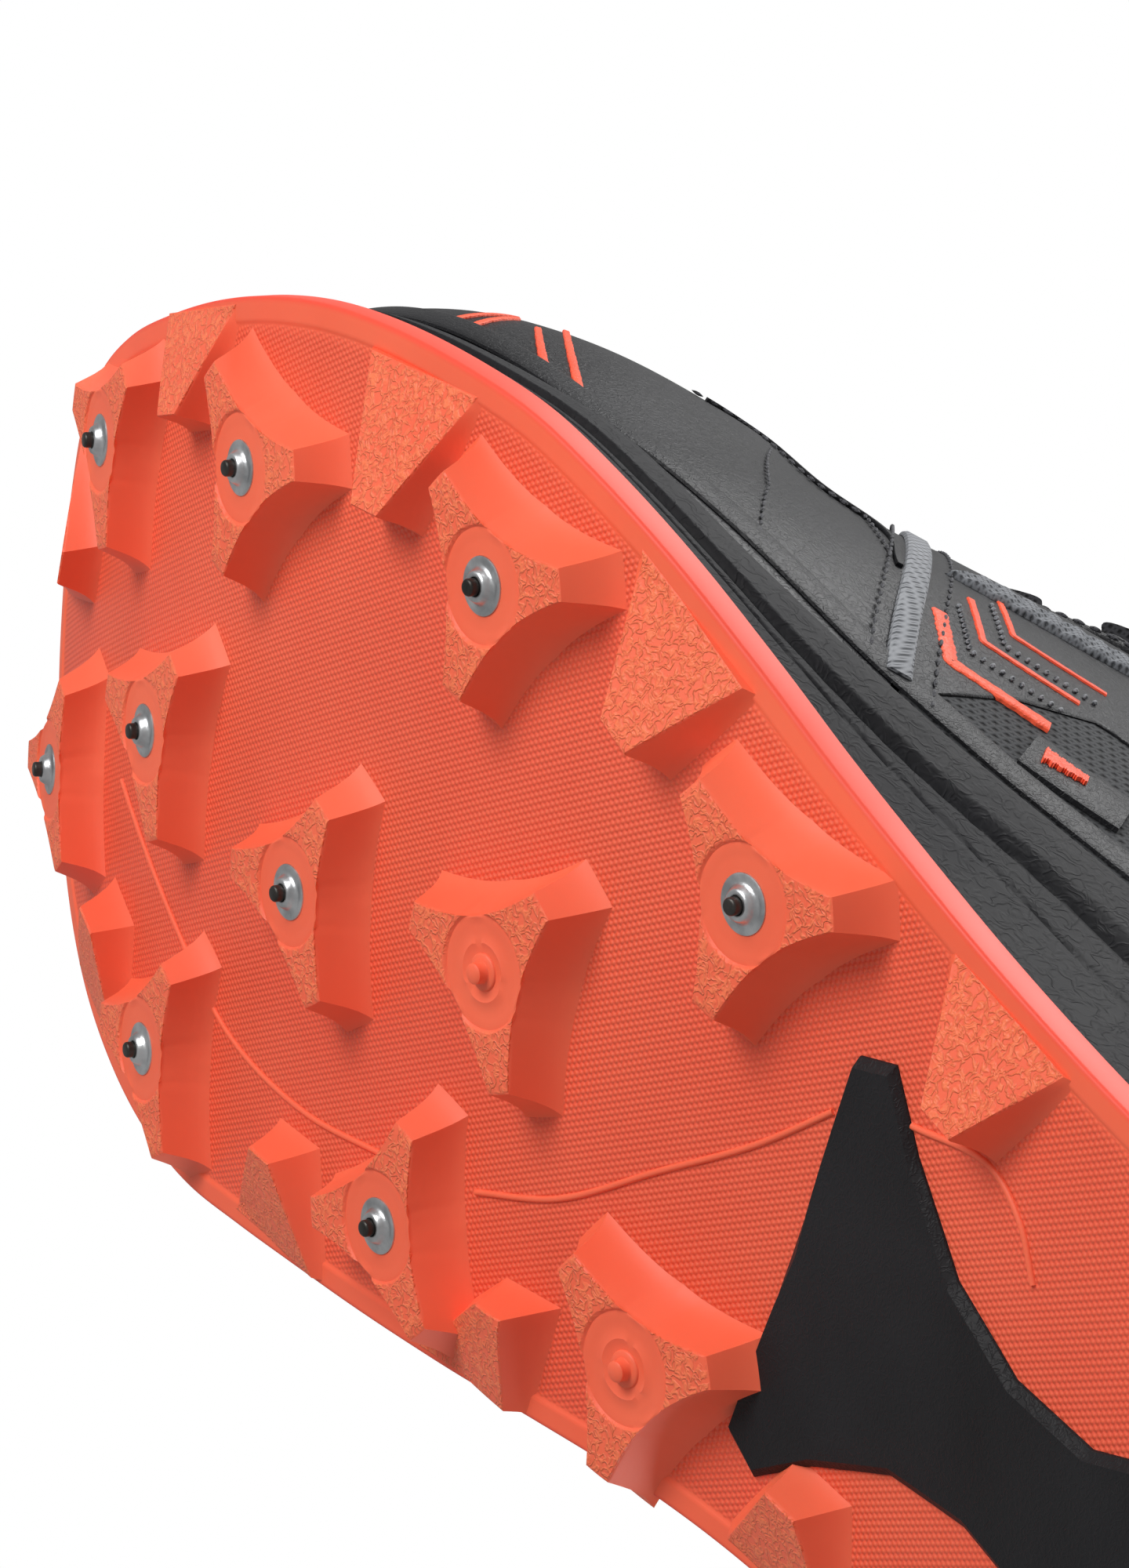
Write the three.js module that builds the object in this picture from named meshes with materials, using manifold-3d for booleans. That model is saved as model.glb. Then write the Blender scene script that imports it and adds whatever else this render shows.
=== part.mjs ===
// A left winter running shoe whose lugged rubber outsole carries steel studs with hard-metal pins.
// Millimetres. The toe points along -Y, the outer (lateral) side is +X and up is +Z.
import * as THREE from "three";
import { mergeVertices } from "three/addons/utils/BufferGeometryUtils.js";
import Module from "manifold-3d";

const wasm = await Module();
wasm.setup();

// ---- driving dimensions ----
const flexAngle = THREE.MathUtils.degToRad(14); // the toe bends about an axis this far off square
const ballPoint = [-1, 15.5]; // where the sole touches the ground under the ball of the foot
const toeBend = 0.00111; // toe lift = toeBend d^2 + toeCurl d^3 at distance d ahead of the ball
const toeCurl = 5.4e-6;
const archRise = 3;
const archLength = 112;
const heelBevelStart = 182;
const heelBevel = 0.012;

const lugHeight = 5;
const sheetThickness = 3;
const armLength = 12.1;
const armHalfWidth = 1.6;
const waistRadius = 5.6;
const lugDraft = 3.2; // how far a lug's foot stands out beyond its tread face
const rampTipHalfWidth = 2.3;
const nubRadius = 1.1;
const nubHeight = 1.3;

const flangeRadius = 3;
const collarRadius = 1.45;
const collarFootRadius = 1.95;
const collarHeight = 0.9;
const flangeProud = 0.2;
const flangeThickness = 0.55;
const stemRadius = 1.6;
const anchorRadius = 2.6;
const studDepth = 5.2;
const pinRadius = 0.88;
const pinReach = 1.8;
const pinDepth = 2.4;
const pinFit = 0.12;
const fit = 0.3; // clearance between parts that touch
const overlayFit = 0.6; // clearance under overlays on the curved upper
const studSides = 8;

const footbedToe = 13;
const footbedHeel = 27;
const footbedRamp = [-20, 130]; // the footbed climbs from toe height to heel height between these
const rimToe = 2; // height of the cup's rim above the footbed
const rimHeel = 11.5;
const rimRamp = [18, 74];
const rimInset = 2;
const cupInset = 6;
const cupFlare = 2.4; // the cup opens this much towards its rim
const tipMargin = 0.004; // where the slabs start, as a share of the outline
const quarterEnd = 0.78; // place where the quarters meet the heel panel
const seamGap = 0.004;
const boardThickness = 1.8;
const insoleThickness = 4;
const shellThickness = 2;
const overlayThickness = 1.2;
const webbingThickness = 0.8;
const paddingThickness = 5;
const tongueThickness = 4.5;
const tongueGap = 2; // clearance between the tongue and the quarters over it
const laceWidth = 6;
const laceThickness = 1.3;

// Half outlines of the outsole from toe tip to heel tip, seen from above.
const lateralOutline = [
  [-12, -103], [-2, -101], [9, -94.5], [20, -83.5], [29, -71.5], [36.7, -60], [43.2, -48.5],
  [48.5, -36.5], [52.3, -24], [54.8, -11], [55.9, 1], [55, 12], [52.8, 24], [49, 38], [45.5, 50],
  [42.8, 62], [40.8, 74], [39.6, 88], [39.2, 104], [39.6, 122], [40.2, 142], [39.2, 161],
  [35.5, 177], [27.5, 189], [15, 196], [1, 198],
];
const medialOutline = [
  [-12, -103], [-22, -101.5], [-33, -97], [-43, -88.5], [-50.5, -77], [-55.5, -64], [-57.6, -50],
  [-57.6, -37], [-55.8, -25], [-52.3, -13], [-48.8, -1], [-45.3, 12], [-41.5, 26], [-37.5, 41],
  [-34, 57], [-31.8, 74], [-31, 92], [-31.8, 110], [-34, 128], [-36.5, 146], [-36.2, 163],
  [-32.5, 178], [-24.5, 189.5], [-13, 196], [1, 198],
];

// Star lugs: x, y and the direction of one of the three arms in degrees.
const studdedStars = [
  [40, 6.2, 60], [30.9, 49.8, 62], [-6.8, -11.4, 12], [-29.5, 16.7, 1], [-9.8, -48.1, 22],
  [-42.5, -33.7, 12], [28.6, -38.4, 60], [11.4, -75.4, 25], [-33.2, -76.2, 5], [23.5, 136, 60],
  [-20.5, 136, 0], [24, 170, 50], [-20, 170, 10], [2, 184, -90],
];
const plainStars = [
  [4.9, 21.3, 25], [-20, 54, 55], [1.5, 153, 30],
];
// Ramp lugs at the rim: the inner tip, then the two outer corners where the ramp meets the rim.
const rampLugs = [
  [24.3, -57.5, 30.2, -69.6, 39.2, -54.4], [36.7, -14.6, 49.2, -25.1, 53.2, -7.2],
  [36.1, 28.4, 51.7, 20.6, 46.8, 38.2], [26.9, 79.8, 38.8, 71.5, 37.6, 88.8],
  [-39.8, -55, -53.5, -64.5, -55.8, -46.5], [-36.5, -5.5, -50.5, -13.5, -46.6, 4],
  [-10.5, -84, 3, -96.5, -22, -98.5], [-27, 35, -41.6, 22.5, -37.6, 38.5],
  [-19, 77, -31, 68.5, -30, 85.5], [26, 112, 37.8, 104, 38, 121],
  [-21, 112, -30.8, 104, -33, 121], [25.5, 153.5, 38.6, 145, 37.8, 162],
  [-22.5, 153.5, -35, 145, -34.6, 162],
];
// The midfoot shank in plan, an hourglass plate.
const shankOutline = [
  [23, 64.5], [25, 69], [19, 75], [12, 84.5], [9, 95], [10, 106], [15, 115], [15, 119], [-12, 119],
  [-12, 115], [-8.5, 106], [-8, 95], [-10.5, 84.5], [-17, 75], [-23, 69], [-21, 64.5],
];

// The upper, by place along a side from toe (0) to heel (1): the opening edge (x, y, z), then the
// side wall's rise and bulge above the footbed, and the flare and drop below the opening edge.
const lateralUpper = [
  [0, -2, -24, 80, 20.5, 9, 0.55, 3], [0.12, 2.3, -23.5, 80, 21, 13.5, 0.6, 2.5],
  [0.22, 7.7, -22, 80, 21.5, 14.5, 0.62, 1], [0.3, 12.8, -19, 80.5, 20.5, 8, 0.53, -1],
  [0.36, 17.9, -12, 82.5, 18, 2.5, 0.38, -2], [0.44, 22.5, 8, 89.5, 18, 1.2, 0.38, -3],
  [0.52, 23.5, 30, 97, 21.5, 2, 0.3, -4], [0.6, 23, 54, 104, 26, 2.5, 0.23, -8],
  [0.66, 24.5, 74, 100.5, 30, 3, 0.18, -14], [0.72, 30, 94, 89, 28, 3, 0.1, -18],
  [0.8, 33, 118, 81, 24, 4, 0.1, -18], [0.88, 31, 145, 85, 24, 5, 0.1, -20],
  [0.94, 24, 171, 92, 26, 5, 0.1, -22], [0.97, 13.7, 180.8, 96.5, 27, 5, 0.1, -23],
  [1, 1, 184, 98, 28, 5, 0.1, -24],
];
const medialUpper = [
  [0, -2, -24, 80, 20.5, 9, 0.55, 3], [0.12, -6.3, -23.5, 80, 21, 9, 0.6, 2.5],
  [0.22, -11, -22, 80, 21.5, 8, 0.6, 1], [0.3, -15, -19, 80.5, 20.5, 6, 0.5, -1],
  [0.36, -18.5, -12, 82.5, 19, 3, 0.4, -2], [0.44, -20.5, 8, 89.5, 20, 1, 0.38, -3],
  [0.52, -21, 30, 97, 23, 0, 0.3, -4], [0.6, -21.5, 54, 104, 27, -1, 0.23, -8],
  [0.66, -24.5, 74, 100.5, 31, 0, 0.18, -14], [0.72, -28.5, 94, 91, 28, 2, 0.1, -18],
  [0.8, -31, 118, 83, 24, 4, 0.1, -18], [0.88, -29, 145, 86, 24, 5, 0.1, -20],
  [0.94, -22, 171, 93, 26, 5, 0.1, -22], [0.97, -11.7, 180.8, 96.5, 27, 5, 0.1, -23],
  [1, 1, 184, 98, 28, 5, 0.1, -24],
];

// ---- the sole's height ----
const smooth = (a, b, t) => THREE.MathUtils.smoothstep(t, a, b);

function toeLift(x, y) {
  const ahead = -(x - ballPoint[0]) * Math.sin(flexAngle) - (y - ballPoint[1]) * Math.cos(flexAngle);
  return ahead > 0 ? toeBend * ahead ** 2 + toeCurl * ahead ** 3 : 0;
}

// Height of the tread faces: toe lift, a low arch behind the ball, a flat heel and its back bevel.
function treadHeight(x, y) {
  const behind = (x - ballPoint[0]) * Math.sin(flexAngle) + (y - ballPoint[1]) * Math.cos(flexAngle);
  const inArch = behind > 0 && behind < archLength;
  const arch = inArch ? archRise * Math.sin((Math.PI * behind) / archLength) ** 2 : 0;
  return toeLift(x, y) + arch + heelBevel * Math.max(0, y - heelBevelStart) ** 2;
}

const sheetBottom = (x, y) => treadHeight(x, y) + lugHeight;
const sheetTop = (x, y) => sheetBottom(x, y) + sheetThickness;
const footbed = (x, y) =>
  toeLift(x, y) + footbedToe + (footbedHeel - footbedToe) * smooth(...footbedRamp, y);
const rimTop = (x, y) => footbed(x, y) + rimToe + (rimHeel - rimToe) * smooth(...rimRamp, y);

// ---- outline of the sole ----
const toCurve = (points) =>
  new THREE.CatmullRomCurve3(points.map(([x, y]) => new THREE.Vector3(x, y, 0)));
const lateralCurve = toCurve(lateralOutline);
const medialCurve = toCurve(medialOutline);

// A place round the shoe: 0 toe tip, 0 to 1 lateral side, 1 heel tip, -1 to 0 medial side.
function outlineAt(place, inset) {
  const turn = place > 1 ? place - 2 : place;
  const curve = turn < 0 ? medialCurve : lateralCurve;
  const along = Math.abs(turn);
  const point = curve.getPointAt(along);
  const tangent = curve.getTangentAt(along);
  const outward = new THREE.Vector3(-tangent.y, tangent.x, 0).multiplyScalar(turn < 0 ? 1 : -1);
  if (along < 0.002) outward.set(0, -1, 0);
  if (along > 0.998) outward.set(0, 1, 0);
  return { point: point.addScaledVector(outward, -inset), outward };
}

// ---- mesh helpers ----
function toGeometry(vertices, triangles) {
  const geometry = new THREE.BufferGeometry();
  geometry.setAttribute("position", new THREE.Float32BufferAttribute(vertices, 3));
  geometry.setIndex(triangles);
  return geometry;
}

function toSolid(geometry) {
  const bare = geometry.clone();
  bare.deleteAttribute("normal");
  bare.deleteAttribute("uv");
  const merged = mergeVertices(bare, 1e-4);
  return new wasm.Manifold(
    new wasm.Mesh({
      numProp: 3,
      vertProperties: new Float32Array(merged.attributes.position.array),
      triVerts: new Uint32Array(merged.index.array),
    }),
  );
}

function fromSolid(solid) {
  const mesh = solid.getMesh();
  return toGeometry([...mesh.vertProperties], [...mesh.triVerts]);
}

// A closed solid between two sheets given as functions of (u, v) in 0..1, with its faces outward.
function sheetSolid(outer, inner, uSteps, vSteps) {
  const vertices = [];
  for (const side of [outer, inner])
    for (let i = 0; i <= uSteps; i++)
      for (let j = 0; j <= vSteps; j++) vertices.push(...side(i / uSteps, j / vSteps).toArray());
  const back = (uSteps + 1) * (vSteps + 1);
  const at = (i, j) => i * (vSteps + 1) + j;
  const triangles = [];
  const quad = (a, b, c, d) => triangles.push(a, b, c, a, c, d);
  for (let i = 0; i < uSteps; i++)
    for (let j = 0; j < vSteps; j++) {
      quad(at(i, j), at(i + 1, j), at(i + 1, j + 1), at(i, j + 1));
      quad(back + at(i, j), back + at(i, j + 1), back + at(i + 1, j + 1), back + at(i + 1, j));
    }
  for (let i = 0; i < uSteps; i++) {
    quad(at(i, 0), back + at(i, 0), back + at(i + 1, 0), at(i + 1, 0));
    quad(at(i + 1, vSteps), back + at(i + 1, vSteps), back + at(i, vSteps), at(i, vSteps));
  }
  for (let j = 0; j < vSteps; j++) {
    quad(at(0, j + 1), back + at(0, j + 1), back + at(0, j), at(0, j));
    quad(at(uSteps, j), back + at(uSteps, j), back + at(uSteps, j + 1), at(uSteps, j + 1));
  }
  return outwards(vertices, triangles);
}

// A closed solid between two rings of points, closed by fans about the middle of each ring.
function loft(low, high) {
  const count = low.length;
  const middle = (ring) =>
    ring.reduce((sum, p) => sum.add(p), new THREE.Vector3()).divideScalar(count);
  const vertices = [...low, ...high, middle(low), middle(high)].flatMap((p) => p.toArray());
  const triangles = [];
  for (let i = 0; i < count; i++) {
    const next = (i + 1) % count;
    triangles.push(i, next, count + next, i, count + next, count + i);
    triangles.push(2 * count, next, i, 2 * count + 1, count + i, count + next);
  }
  return outwards(vertices, triangles);
}

function outwards(vertices, triangles) {
  const corner = (k) => new THREE.Vector3().fromArray(vertices, 3 * triangles[k]);
  let volume = 0;
  for (let k = 0; k < triangles.length; k += 3)
    volume += corner(k).dot(corner(k + 1).cross(corner(k + 2)));
  if (volume < 0) triangles.reverse();
  return toGeometry(vertices, triangles);
}

// A turned solid about the Z axis; the profile starts and ends on the axis.
function lathe(profile) {
  const points = profile.map(([r, z]) => new THREE.Vector2(r, z));
  const turned = new THREE.LatheGeometry(points, studSides).rotateX(Math.PI / 2);
  return outwards([...turned.attributes.position.array], [...turned.index.array]);
}

// ---- slabs that fill the sole's outline ----
// Insets and heights are given for the bottom and the top; v runs from the lateral to the medial edge.
function soleSlab(insets, bottom, top, steps, across) {
  const place = (u, v, inset, height) => {
    const along = THREE.MathUtils.lerp(tipMargin, 1 - tipMargin, u);
    const lateral = outlineAt(along, inset).point;
    const p = lateral.lerp(outlineAt(-along, inset).point, v);
    return p.setZ(height(p.x, p.y));
  };
  return sheetSolid(
    (u, v) => place(u, v, insets[0], bottom),
    (u, v) => place(u, v, insets[1], top),
    steps,
    across,
  );
}

// ---- rubber outsole ----
const starRing = (x, y, turn, grow, lift) => {
  const ring = [];
  const corner = (radius, angle, side) => {
    const c = Math.cos(angle);
    const s = Math.sin(angle);
    const px = x + radius * c - side * s;
    const py = y + radius * s + side * c;
    ring.push(new THREE.Vector3(px, py, treadHeight(px, py) + lift));
  };
  for (let arm = 0; arm < 3; arm++) {
    const angle = THREE.MathUtils.degToRad(turn + 120 * arm);
    const between = angle + Math.PI / 3;
    corner(armLength + grow, angle, -armHalfWidth - 0.42 * grow);
    corner(armLength + grow, angle, armHalfWidth + 0.42 * grow);
    corner(waistRadius + grow + 1.2, between - 0.5, 0);
    corner(waistRadius + grow, between, 0);
    corner(waistRadius + grow + 1.2, between + 0.5, 0);
  }
  return ring;
};

function starLug([x, y, turn]) {
  return loft(starRing(x, y, turn, 0, 0), starRing(x, y, turn, lugDraft, lugHeight + 0.6));
}

function rampLug([tipX, tipY, ax, ay, bx, by]) {
  const tip = new THREE.Vector2(tipX, tipY);
  const inward = new THREE.Vector2(tipX - (ax + bx) / 2, tipY - (ay + by) / 2).normalize();
  const across = new THREE.Vector2(bx - ax, by - ay).normalize();
  const ring = (grow, tipLift, rimLift) =>
    [
      [ax - across.x * grow, ay - across.y * grow, rimLift],
      [bx + across.x * grow, by + across.y * grow, rimLift],
      [
        tip.x + across.x * (rampTipHalfWidth + grow) + inward.x * grow,
        tip.y + across.y * (rampTipHalfWidth + grow) + inward.y * grow,
        tipLift,
      ],
      [
        tip.x - across.x * (rampTipHalfWidth + grow) + inward.x * grow,
        tip.y - across.y * (rampTipHalfWidth + grow) + inward.y * grow,
        tipLift,
      ],
    ].map(([px, py, lift]) => new THREE.Vector3(px, py, treadHeight(px, py) + lift));
  return loft(ring(0, 0.2, lugHeight - 0.4), ring(2.2, lugHeight + 0.6, lugHeight + 0.6));
}

// Places a turned part in a lug: its +Z axis leaves the tread face at right angles.
function seatOf(x, y) {
  const step = 0.5;
  const slopeX = (treadHeight(x + step, y) - treadHeight(x - step, y)) / (2 * step);
  const slopeY = (treadHeight(x, y + step) - treadHeight(x, y - step)) / (2 * step);
  const outward = new THREE.Vector3(slopeX, slopeY, -1).normalize();
  const turn = new THREE.Quaternion().setFromUnitVectors(new THREE.Vector3(0, 0, 1), outward);
  const face = new THREE.Vector3(x, y, treadHeight(x, y)).addScaledVector(outward, flangeProud);
  return { face, turn };
}

function seated(geometry, x, y) {
  const { face, turn } = seatOf(x, y);
  return geometry.applyQuaternion(turn).translate(face.x, face.y, face.z);
}

const studPocket = () =>
  lathe([
    [0, -studDepth - 2 * fit],
    [anchorRadius + fit, -studDepth - 2 * fit],
    [anchorRadius + fit, -studDepth + 1 - fit],
    [stemRadius + fit, -studDepth + 1.6],
    [stemRadius + fit, -flangeThickness - fit],
    [flangeRadius + fit, -flangeThickness - fit],
    [flangeRadius + fit, 1],
    [0, 1],
  ]);

const prism = (outline, bottom, top) => {
  const ring = (height) => outline.map(([x, y]) => new THREE.Vector3(x, y, height(x, y)));
  return loft(ring(bottom), ring(top));
};

const grown = (outline, amount) => {
  const cx = outline.reduce((sum, p) => sum + p[0], 0) / outline.length;
  const cy = outline.reduce((sum, p) => sum + p[1], 0) / outline.length;
  return outline.map(([x, y]) => {
    const length = Math.hypot(x - cx, y - cy);
    const scale = (length + amount) / length;
    return [cx + (x - cx) * scale, cy + (y - cy) * scale];
  });
};

function makeOutsole() {
  let rubber = toSolid(soleSlab([0, 0], sheetBottom, sheetTop, 36, 6));
  for (const star of [...studdedStars, ...plainStars]) rubber = rubber.add(toSolid(starLug(star)));
  for (const ramp of rampLugs) rubber = rubber.add(toSolid(rampLug(ramp)));
  for (const [x, y] of plainStars) {
    const nub = lathe([[0, -1], [nubRadius, -1], [nubRadius, nubHeight], [0, nubHeight]]);
    rubber = rubber.add(toSolid(seated(nub, x, y)));
  }
  for (const [x, y] of studdedStars) rubber = rubber.subtract(toSolid(seated(studPocket(), x, y)));
  const window = prism(
    grown(shankOutline, 2 * fit),
    (x, y) => treadHeight(x, y) + lugHeight - 2,
    (x, y) => treadHeight(x, y) + lugHeight + sheetThickness + 2,
  );
  return fromSolid(rubber.subtract(toSolid(window)));
}

// The foam cup: a slab up to the rim, with a flared hollow down to the footbed.
function makeMidsole() {
  const slab = soleSlab([0.5, rimInset], (x, y) => sheetTop(x, y) + fit, rimTop, 32, 4);
  const above = (x, y) => rimTop(x, y) + 1;
  const hollow = soleSlab([cupInset, cupInset - cupFlare], footbed, above, 40, 6);
  return fromSolid(toSolid(slab).subtract(toSolid(hollow)));
}

// ---- studs ----
const studBody = () =>
  lathe([
    [0, -pinDepth - pinFit],
    [pinRadius + pinFit, -pinDepth - pinFit],
    [pinRadius + pinFit, collarHeight],
    [collarRadius, collarHeight],
    [collarFootRadius, 0],
    [flangeRadius, 0],
    [flangeRadius, -flangeThickness],
    [stemRadius, -flangeThickness],
    [stemRadius, -studDepth + 1.2],
    [anchorRadius, -studDepth + 0.8],
    [anchorRadius, -studDepth],
    [0, -studDepth],
  ]);

const studPin = () =>
  lathe([
    [0, -pinDepth],
    [pinRadius, -pinDepth],
    [pinRadius, pinReach - 0.2],
    [pinRadius - 0.15, pinReach],
    [0, pinReach],
  ]);

// ---- upper ----
const upperAt = (rows) => {
  const places = Float32Array.from(rows, (row) => row[0]);
  const values = Float32Array.from(rows.flatMap((row) => row.slice(1)));
  return new THREE.CubicInterpolant(places, values, 7);
};
const upperTables = { lateral: upperAt(lateralUpper), medial: upperAt(medialUpper) };

// The outside of the upper at a place round the shoe and a height from footbed (0) to edge (1).
function skin(place, height) {
  const turn = place > 1 ? place - 2 : place;
  const table = turn < 0 ? upperTables.medial : upperTables.lateral;
  const [x, y, z, rise, bulge, flare, drop] = table.evaluate(Math.abs(turn));
  const { point: foot, outward } = outlineAt(place, cupInset + fit);
  foot.setZ(footbed(foot.x, foot.y) + fit);
  const edge = new THREE.Vector3(x, y, z);
  const low = foot.clone().addScaledVector(outward, bulge).add(new THREE.Vector3(0, 0, rise));
  const spread = new THREE.Vector3(foot.x - x, foot.y - y, 0).multiplyScalar(flare);
  const high = edge.clone().add(spread).add(new THREE.Vector3(0, 0, drop));
  return new THREE.CubicBezierCurve3(foot, low, high, edge).getPoint(height);
}

// The same surface moved outwards by an amount.
function skinOffset(place, height, amount) {
  const step = 0.004;
  const h = THREE.MathUtils.clamp(height, step, 1 - step);
  const alongPlace = skin(place + step, h).sub(skin(place - step, h));
  const alongHeight = skin(place, h + step).sub(skin(place, h - step));
  const normal = alongPlace.cross(alongHeight).normalize();
  return skin(place, height).addScaledVector(normal, amount);
}

// The oblique seam between vamp and quarter: its place at a height from footbed (0) to edge (1).
const seamPlace = (height) => 0.51 - 0.21 * height;

// A panel of the upper from one offset to another; route turns (u, v) into a place and a height.
function panel(route, offsets, placeSteps, heightSteps) {
  const layer = (offset) => (u, v) => skinOffset(...route(u, v), offset);
  return sheetSolid(layer(offsets[1]), layer(offsets[0]), placeSteps, heightSteps);
}

const mix = THREE.MathUtils.lerp;
const patch = (places, heights) => (u, v) => [mix(...places, u), mix(...heights, v)];
const fullHeight = (from, to) => (u, v) => [mix(from(v), to(v), u), v];

// The throat's bridge at a place along the eyestays: b runs from the lateral (-1) to medial (1) side.
function throatPoint(along, b, underside, crown) {
  const side = b < 0 ? along : -along;
  const lateral = skin(along, 1);
  const middle = lateral.clone().add(skin(-along, 1)).multiplyScalar(0.5);
  middle.z += crown;
  const reach = Math.abs(b);
  if (reach > 0.5) return skinOffset(side, 1 - (reach - 0.5) * 0.42, underside);
  const edge = skinOffset(side, 1, underside);
  const t = reach / 0.5;
  return middle.lerp(edge, t * t * (3 - 2 * t) * 0.35 + t * 0.65);
}

// The woven strap climbs from the seam to the eyestay.
function strapRoute(u, v) {
  const place = mix(0.424, 0.527, u);
  return [place, 0.515 + 2.8 * (place - 0.424) + 0.085 * (v - 0.5)];
}

function makeTongue() {
  const layer = (underside, crown) => (u, v) => {
    const along = THREE.MathUtils.lerp(0.27, 0.6, Math.min(u / 0.85, 1));
    const over = Math.max(0, u - 0.85) / 0.15;
    const b = THREE.MathUtils.lerp(-1, 1, v);
    const p = throatPoint(along, b, underside, crown);
    return p.add(new THREE.Vector3(0, 15 * over, 17 * over));
  };
  const low = -shellThickness - tongueGap;
  return sheetSolid(layer(low, 0.3), layer(low - tongueThickness, -tongueThickness), 12, 8);
}

function lacePath(along) {
  const at = (b) => throatPoint(along, b, overlayFit + overlayThickness + 1.2, 4);
  const points = [-0.66, -0.56, -0.5, -0.3, 0, 0.3, 0.5, 0.56, 0.66].map(at);
  return new THREE.CatmullRomCurve3(points);
}

function makeLaceRow(along) {
  const path = lacePath(along);
  const along1 = skin(along + 0.01, 1).sub(skin(along - 0.01, 1)).normalize();
  const point = (t, v, lift) => {
    const tangent = path.getTangent(t);
    const normal = tangent.clone().cross(along1).normalize();
    if (normal.z < 0) normal.negate();
    const p = path.getPoint(t).addScaledVector(along1, (v - 0.5) * laceWidth);
    return p.addScaledVector(normal, lift);
  };
  return sheetSolid((u, v) => point(u, v, laceThickness), (u, v) => point(u, v, 0), 12, 1);
}

function makeLacePocket() {
  const centre = (u) => THREE.MathUtils.lerp(0.605, 0.63, u);
  const layer = (lift) => (u, v) => {
    const b = THREE.MathUtils.lerp(-0.3, 0.3, v);
    const p = throatPoint(0.6, b, -shellThickness - tongueGap, 0.3);
    const up = (centre(u) - 0.6) / 0.03;
    return p.add(new THREE.Vector3(0, 3 + 11 * up, 3.4 + 12.5 * up + lift));
  };
  return sheetSolid(layer(3.4), layer(0.6), 3, 4);
}

function makeLaceKnot() {
  const top = throatPoint(0.6, 0, -shellThickness - tongueGap, 0.3);
  const knot = new THREE.SphereGeometry(1, 10, 6);
  return knot.scale(7, 2.6, 2.6).translate(top.x, top.y + 1.5, top.z + 7.4);
}

// ---- assembly ----
const shoe = new THREE.Group();
const finish = (color, roughness, metalness = 0) => ({ color, roughness, metalness });
const finishes = {
  rubber: finish(0xff5a32, 0.55),
  steel: finish(0xb4b6b8, 0.3, 1),
  carbide: finish(0x33292a, 0.35, 1),
  blackPlastic: finish(0x18191b, 0.4),
  foam: finish(0x1b1c1e, 0.6),
  board: finish(0x3a3a3c, 0.9),
  coated: finish(0x1d1f24, 0.45),
  knit: finish(0x2b2d32, 0.9),
  webbing: finish(0x6b7078, 0.8),
};

function addPiece(name, geometry, finishName) {
  const mesh = new THREE.Mesh(geometry, new THREE.MeshStandardMaterial(finishes[finishName]));
  mesh.name = name;
  shoe.add(mesh);
}

addPiece("outsole", makeOutsole(), "rubber");
studdedStars.forEach(([x, y], index) => {
  const number = String(index + 1).padStart(2, "0");
  addPiece(`stud_body_${number}`, seated(studBody(), x, y), "steel");
  addPiece(`stud_pin_${number}`, seated(studPin(), x, y), "carbide");
});
addPiece(
  "midfoot_shank",
  prism(
    shankOutline,
    (x, y) => sheetBottom(x, y) - 1,
    (x, y) => sheetTop(x, y),
  ),
  "blackPlastic",
);
addPiece("midsole", makeMidsole(), "foam");
const boardInset = cupInset + shellThickness + 2 * fit;
const boardTop = (x, y) => footbed(x, y) + fit + boardThickness;
const board = soleSlab([boardInset, boardInset], (x, y) => footbed(x, y) + fit, boardTop, 20, 4);
addPiece("lasting_board", board, "board");
const insoleBottom = (x, y) => boardTop(x, y) + fit;
const insoleTop = (x, y) => insoleBottom(x, y) + insoleThickness;
const insole = soleSlab([boardInset + 0.4, boardInset + 0.8], insoleBottom, insoleTop, 20, 4);
addPiece("insole", insole, "knit");
const shell = [-shellThickness, 0];
const vampRoute = fullHeight((v) => -seamPlace(v), seamPlace);
addPiece("vamp", panel(vampRoute, shell, 24, 9), "coated");
const lateralRoute = fullHeight((v) => seamPlace(v) + seamGap, () => quarterEnd);
addPiece("lateral_quarter", panel(lateralRoute, shell, 12, 8), "coated");
const medialRoute = fullHeight(() => -quarterEnd, (v) => -seamPlace(v) - seamGap);
addPiece("medial_quarter", panel(medialRoute, shell, 12, 8), "coated");
const heelRoute = patch([quarterEnd + seamGap, 2 - quarterEnd - seamGap], [0, 1]);
addPiece("heel_panel", panel(heelRoute, shell, 20, 7), "knit");
const counterRoute = patch([0.83, 1.17], [0.3, 0.62]);
addPiece("heel_counter", panel(counterRoute, [overlayFit, 2], 16, 4), "blackPlastic");
const padding = [-shellThickness - paddingThickness, -shellThickness - overlayFit];
addPiece("collar_padding", panel(patch([0.64, 1.36], [0.7, 1]), padding, 24, 3), "knit");
addPiece("tongue", makeTongue(), "knit");
const eyestayOffsets = [overlayFit, overlayFit + overlayThickness];
const webbingOffsets = [overlayFit, overlayFit + webbingThickness];
for (const [side, sign] of [["lateral", 1], ["medial", -1]]) {
  const mirrored = (route) => (u, v) => {
    const [place, height] = route(sign > 0 ? u : 1 - u, v);
    return [place * sign, height];
  };
  const eyestay = panel(mirrored(patch([0.325, 0.62], [0.86, 0.99])), eyestayOffsets, 10, 2);
  const webbing = panel(mirrored(strapRoute), webbingOffsets, 8, 2);
  addPiece(`${side}_eyestay`, eyestay, "coated");
  addPiece(`${side}_webbing`, webbing, "webbing");
}
for (let row = 0; row < 6; row++)
  addPiece(`lace_row_${row + 1}`, makeLaceRow(0.35 + 0.046 * row), "webbing");
addPiece("lace_knot", makeLaceKnot(), "webbing");
addPiece("lace_pocket", makeLacePocket(), "coated");
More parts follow.
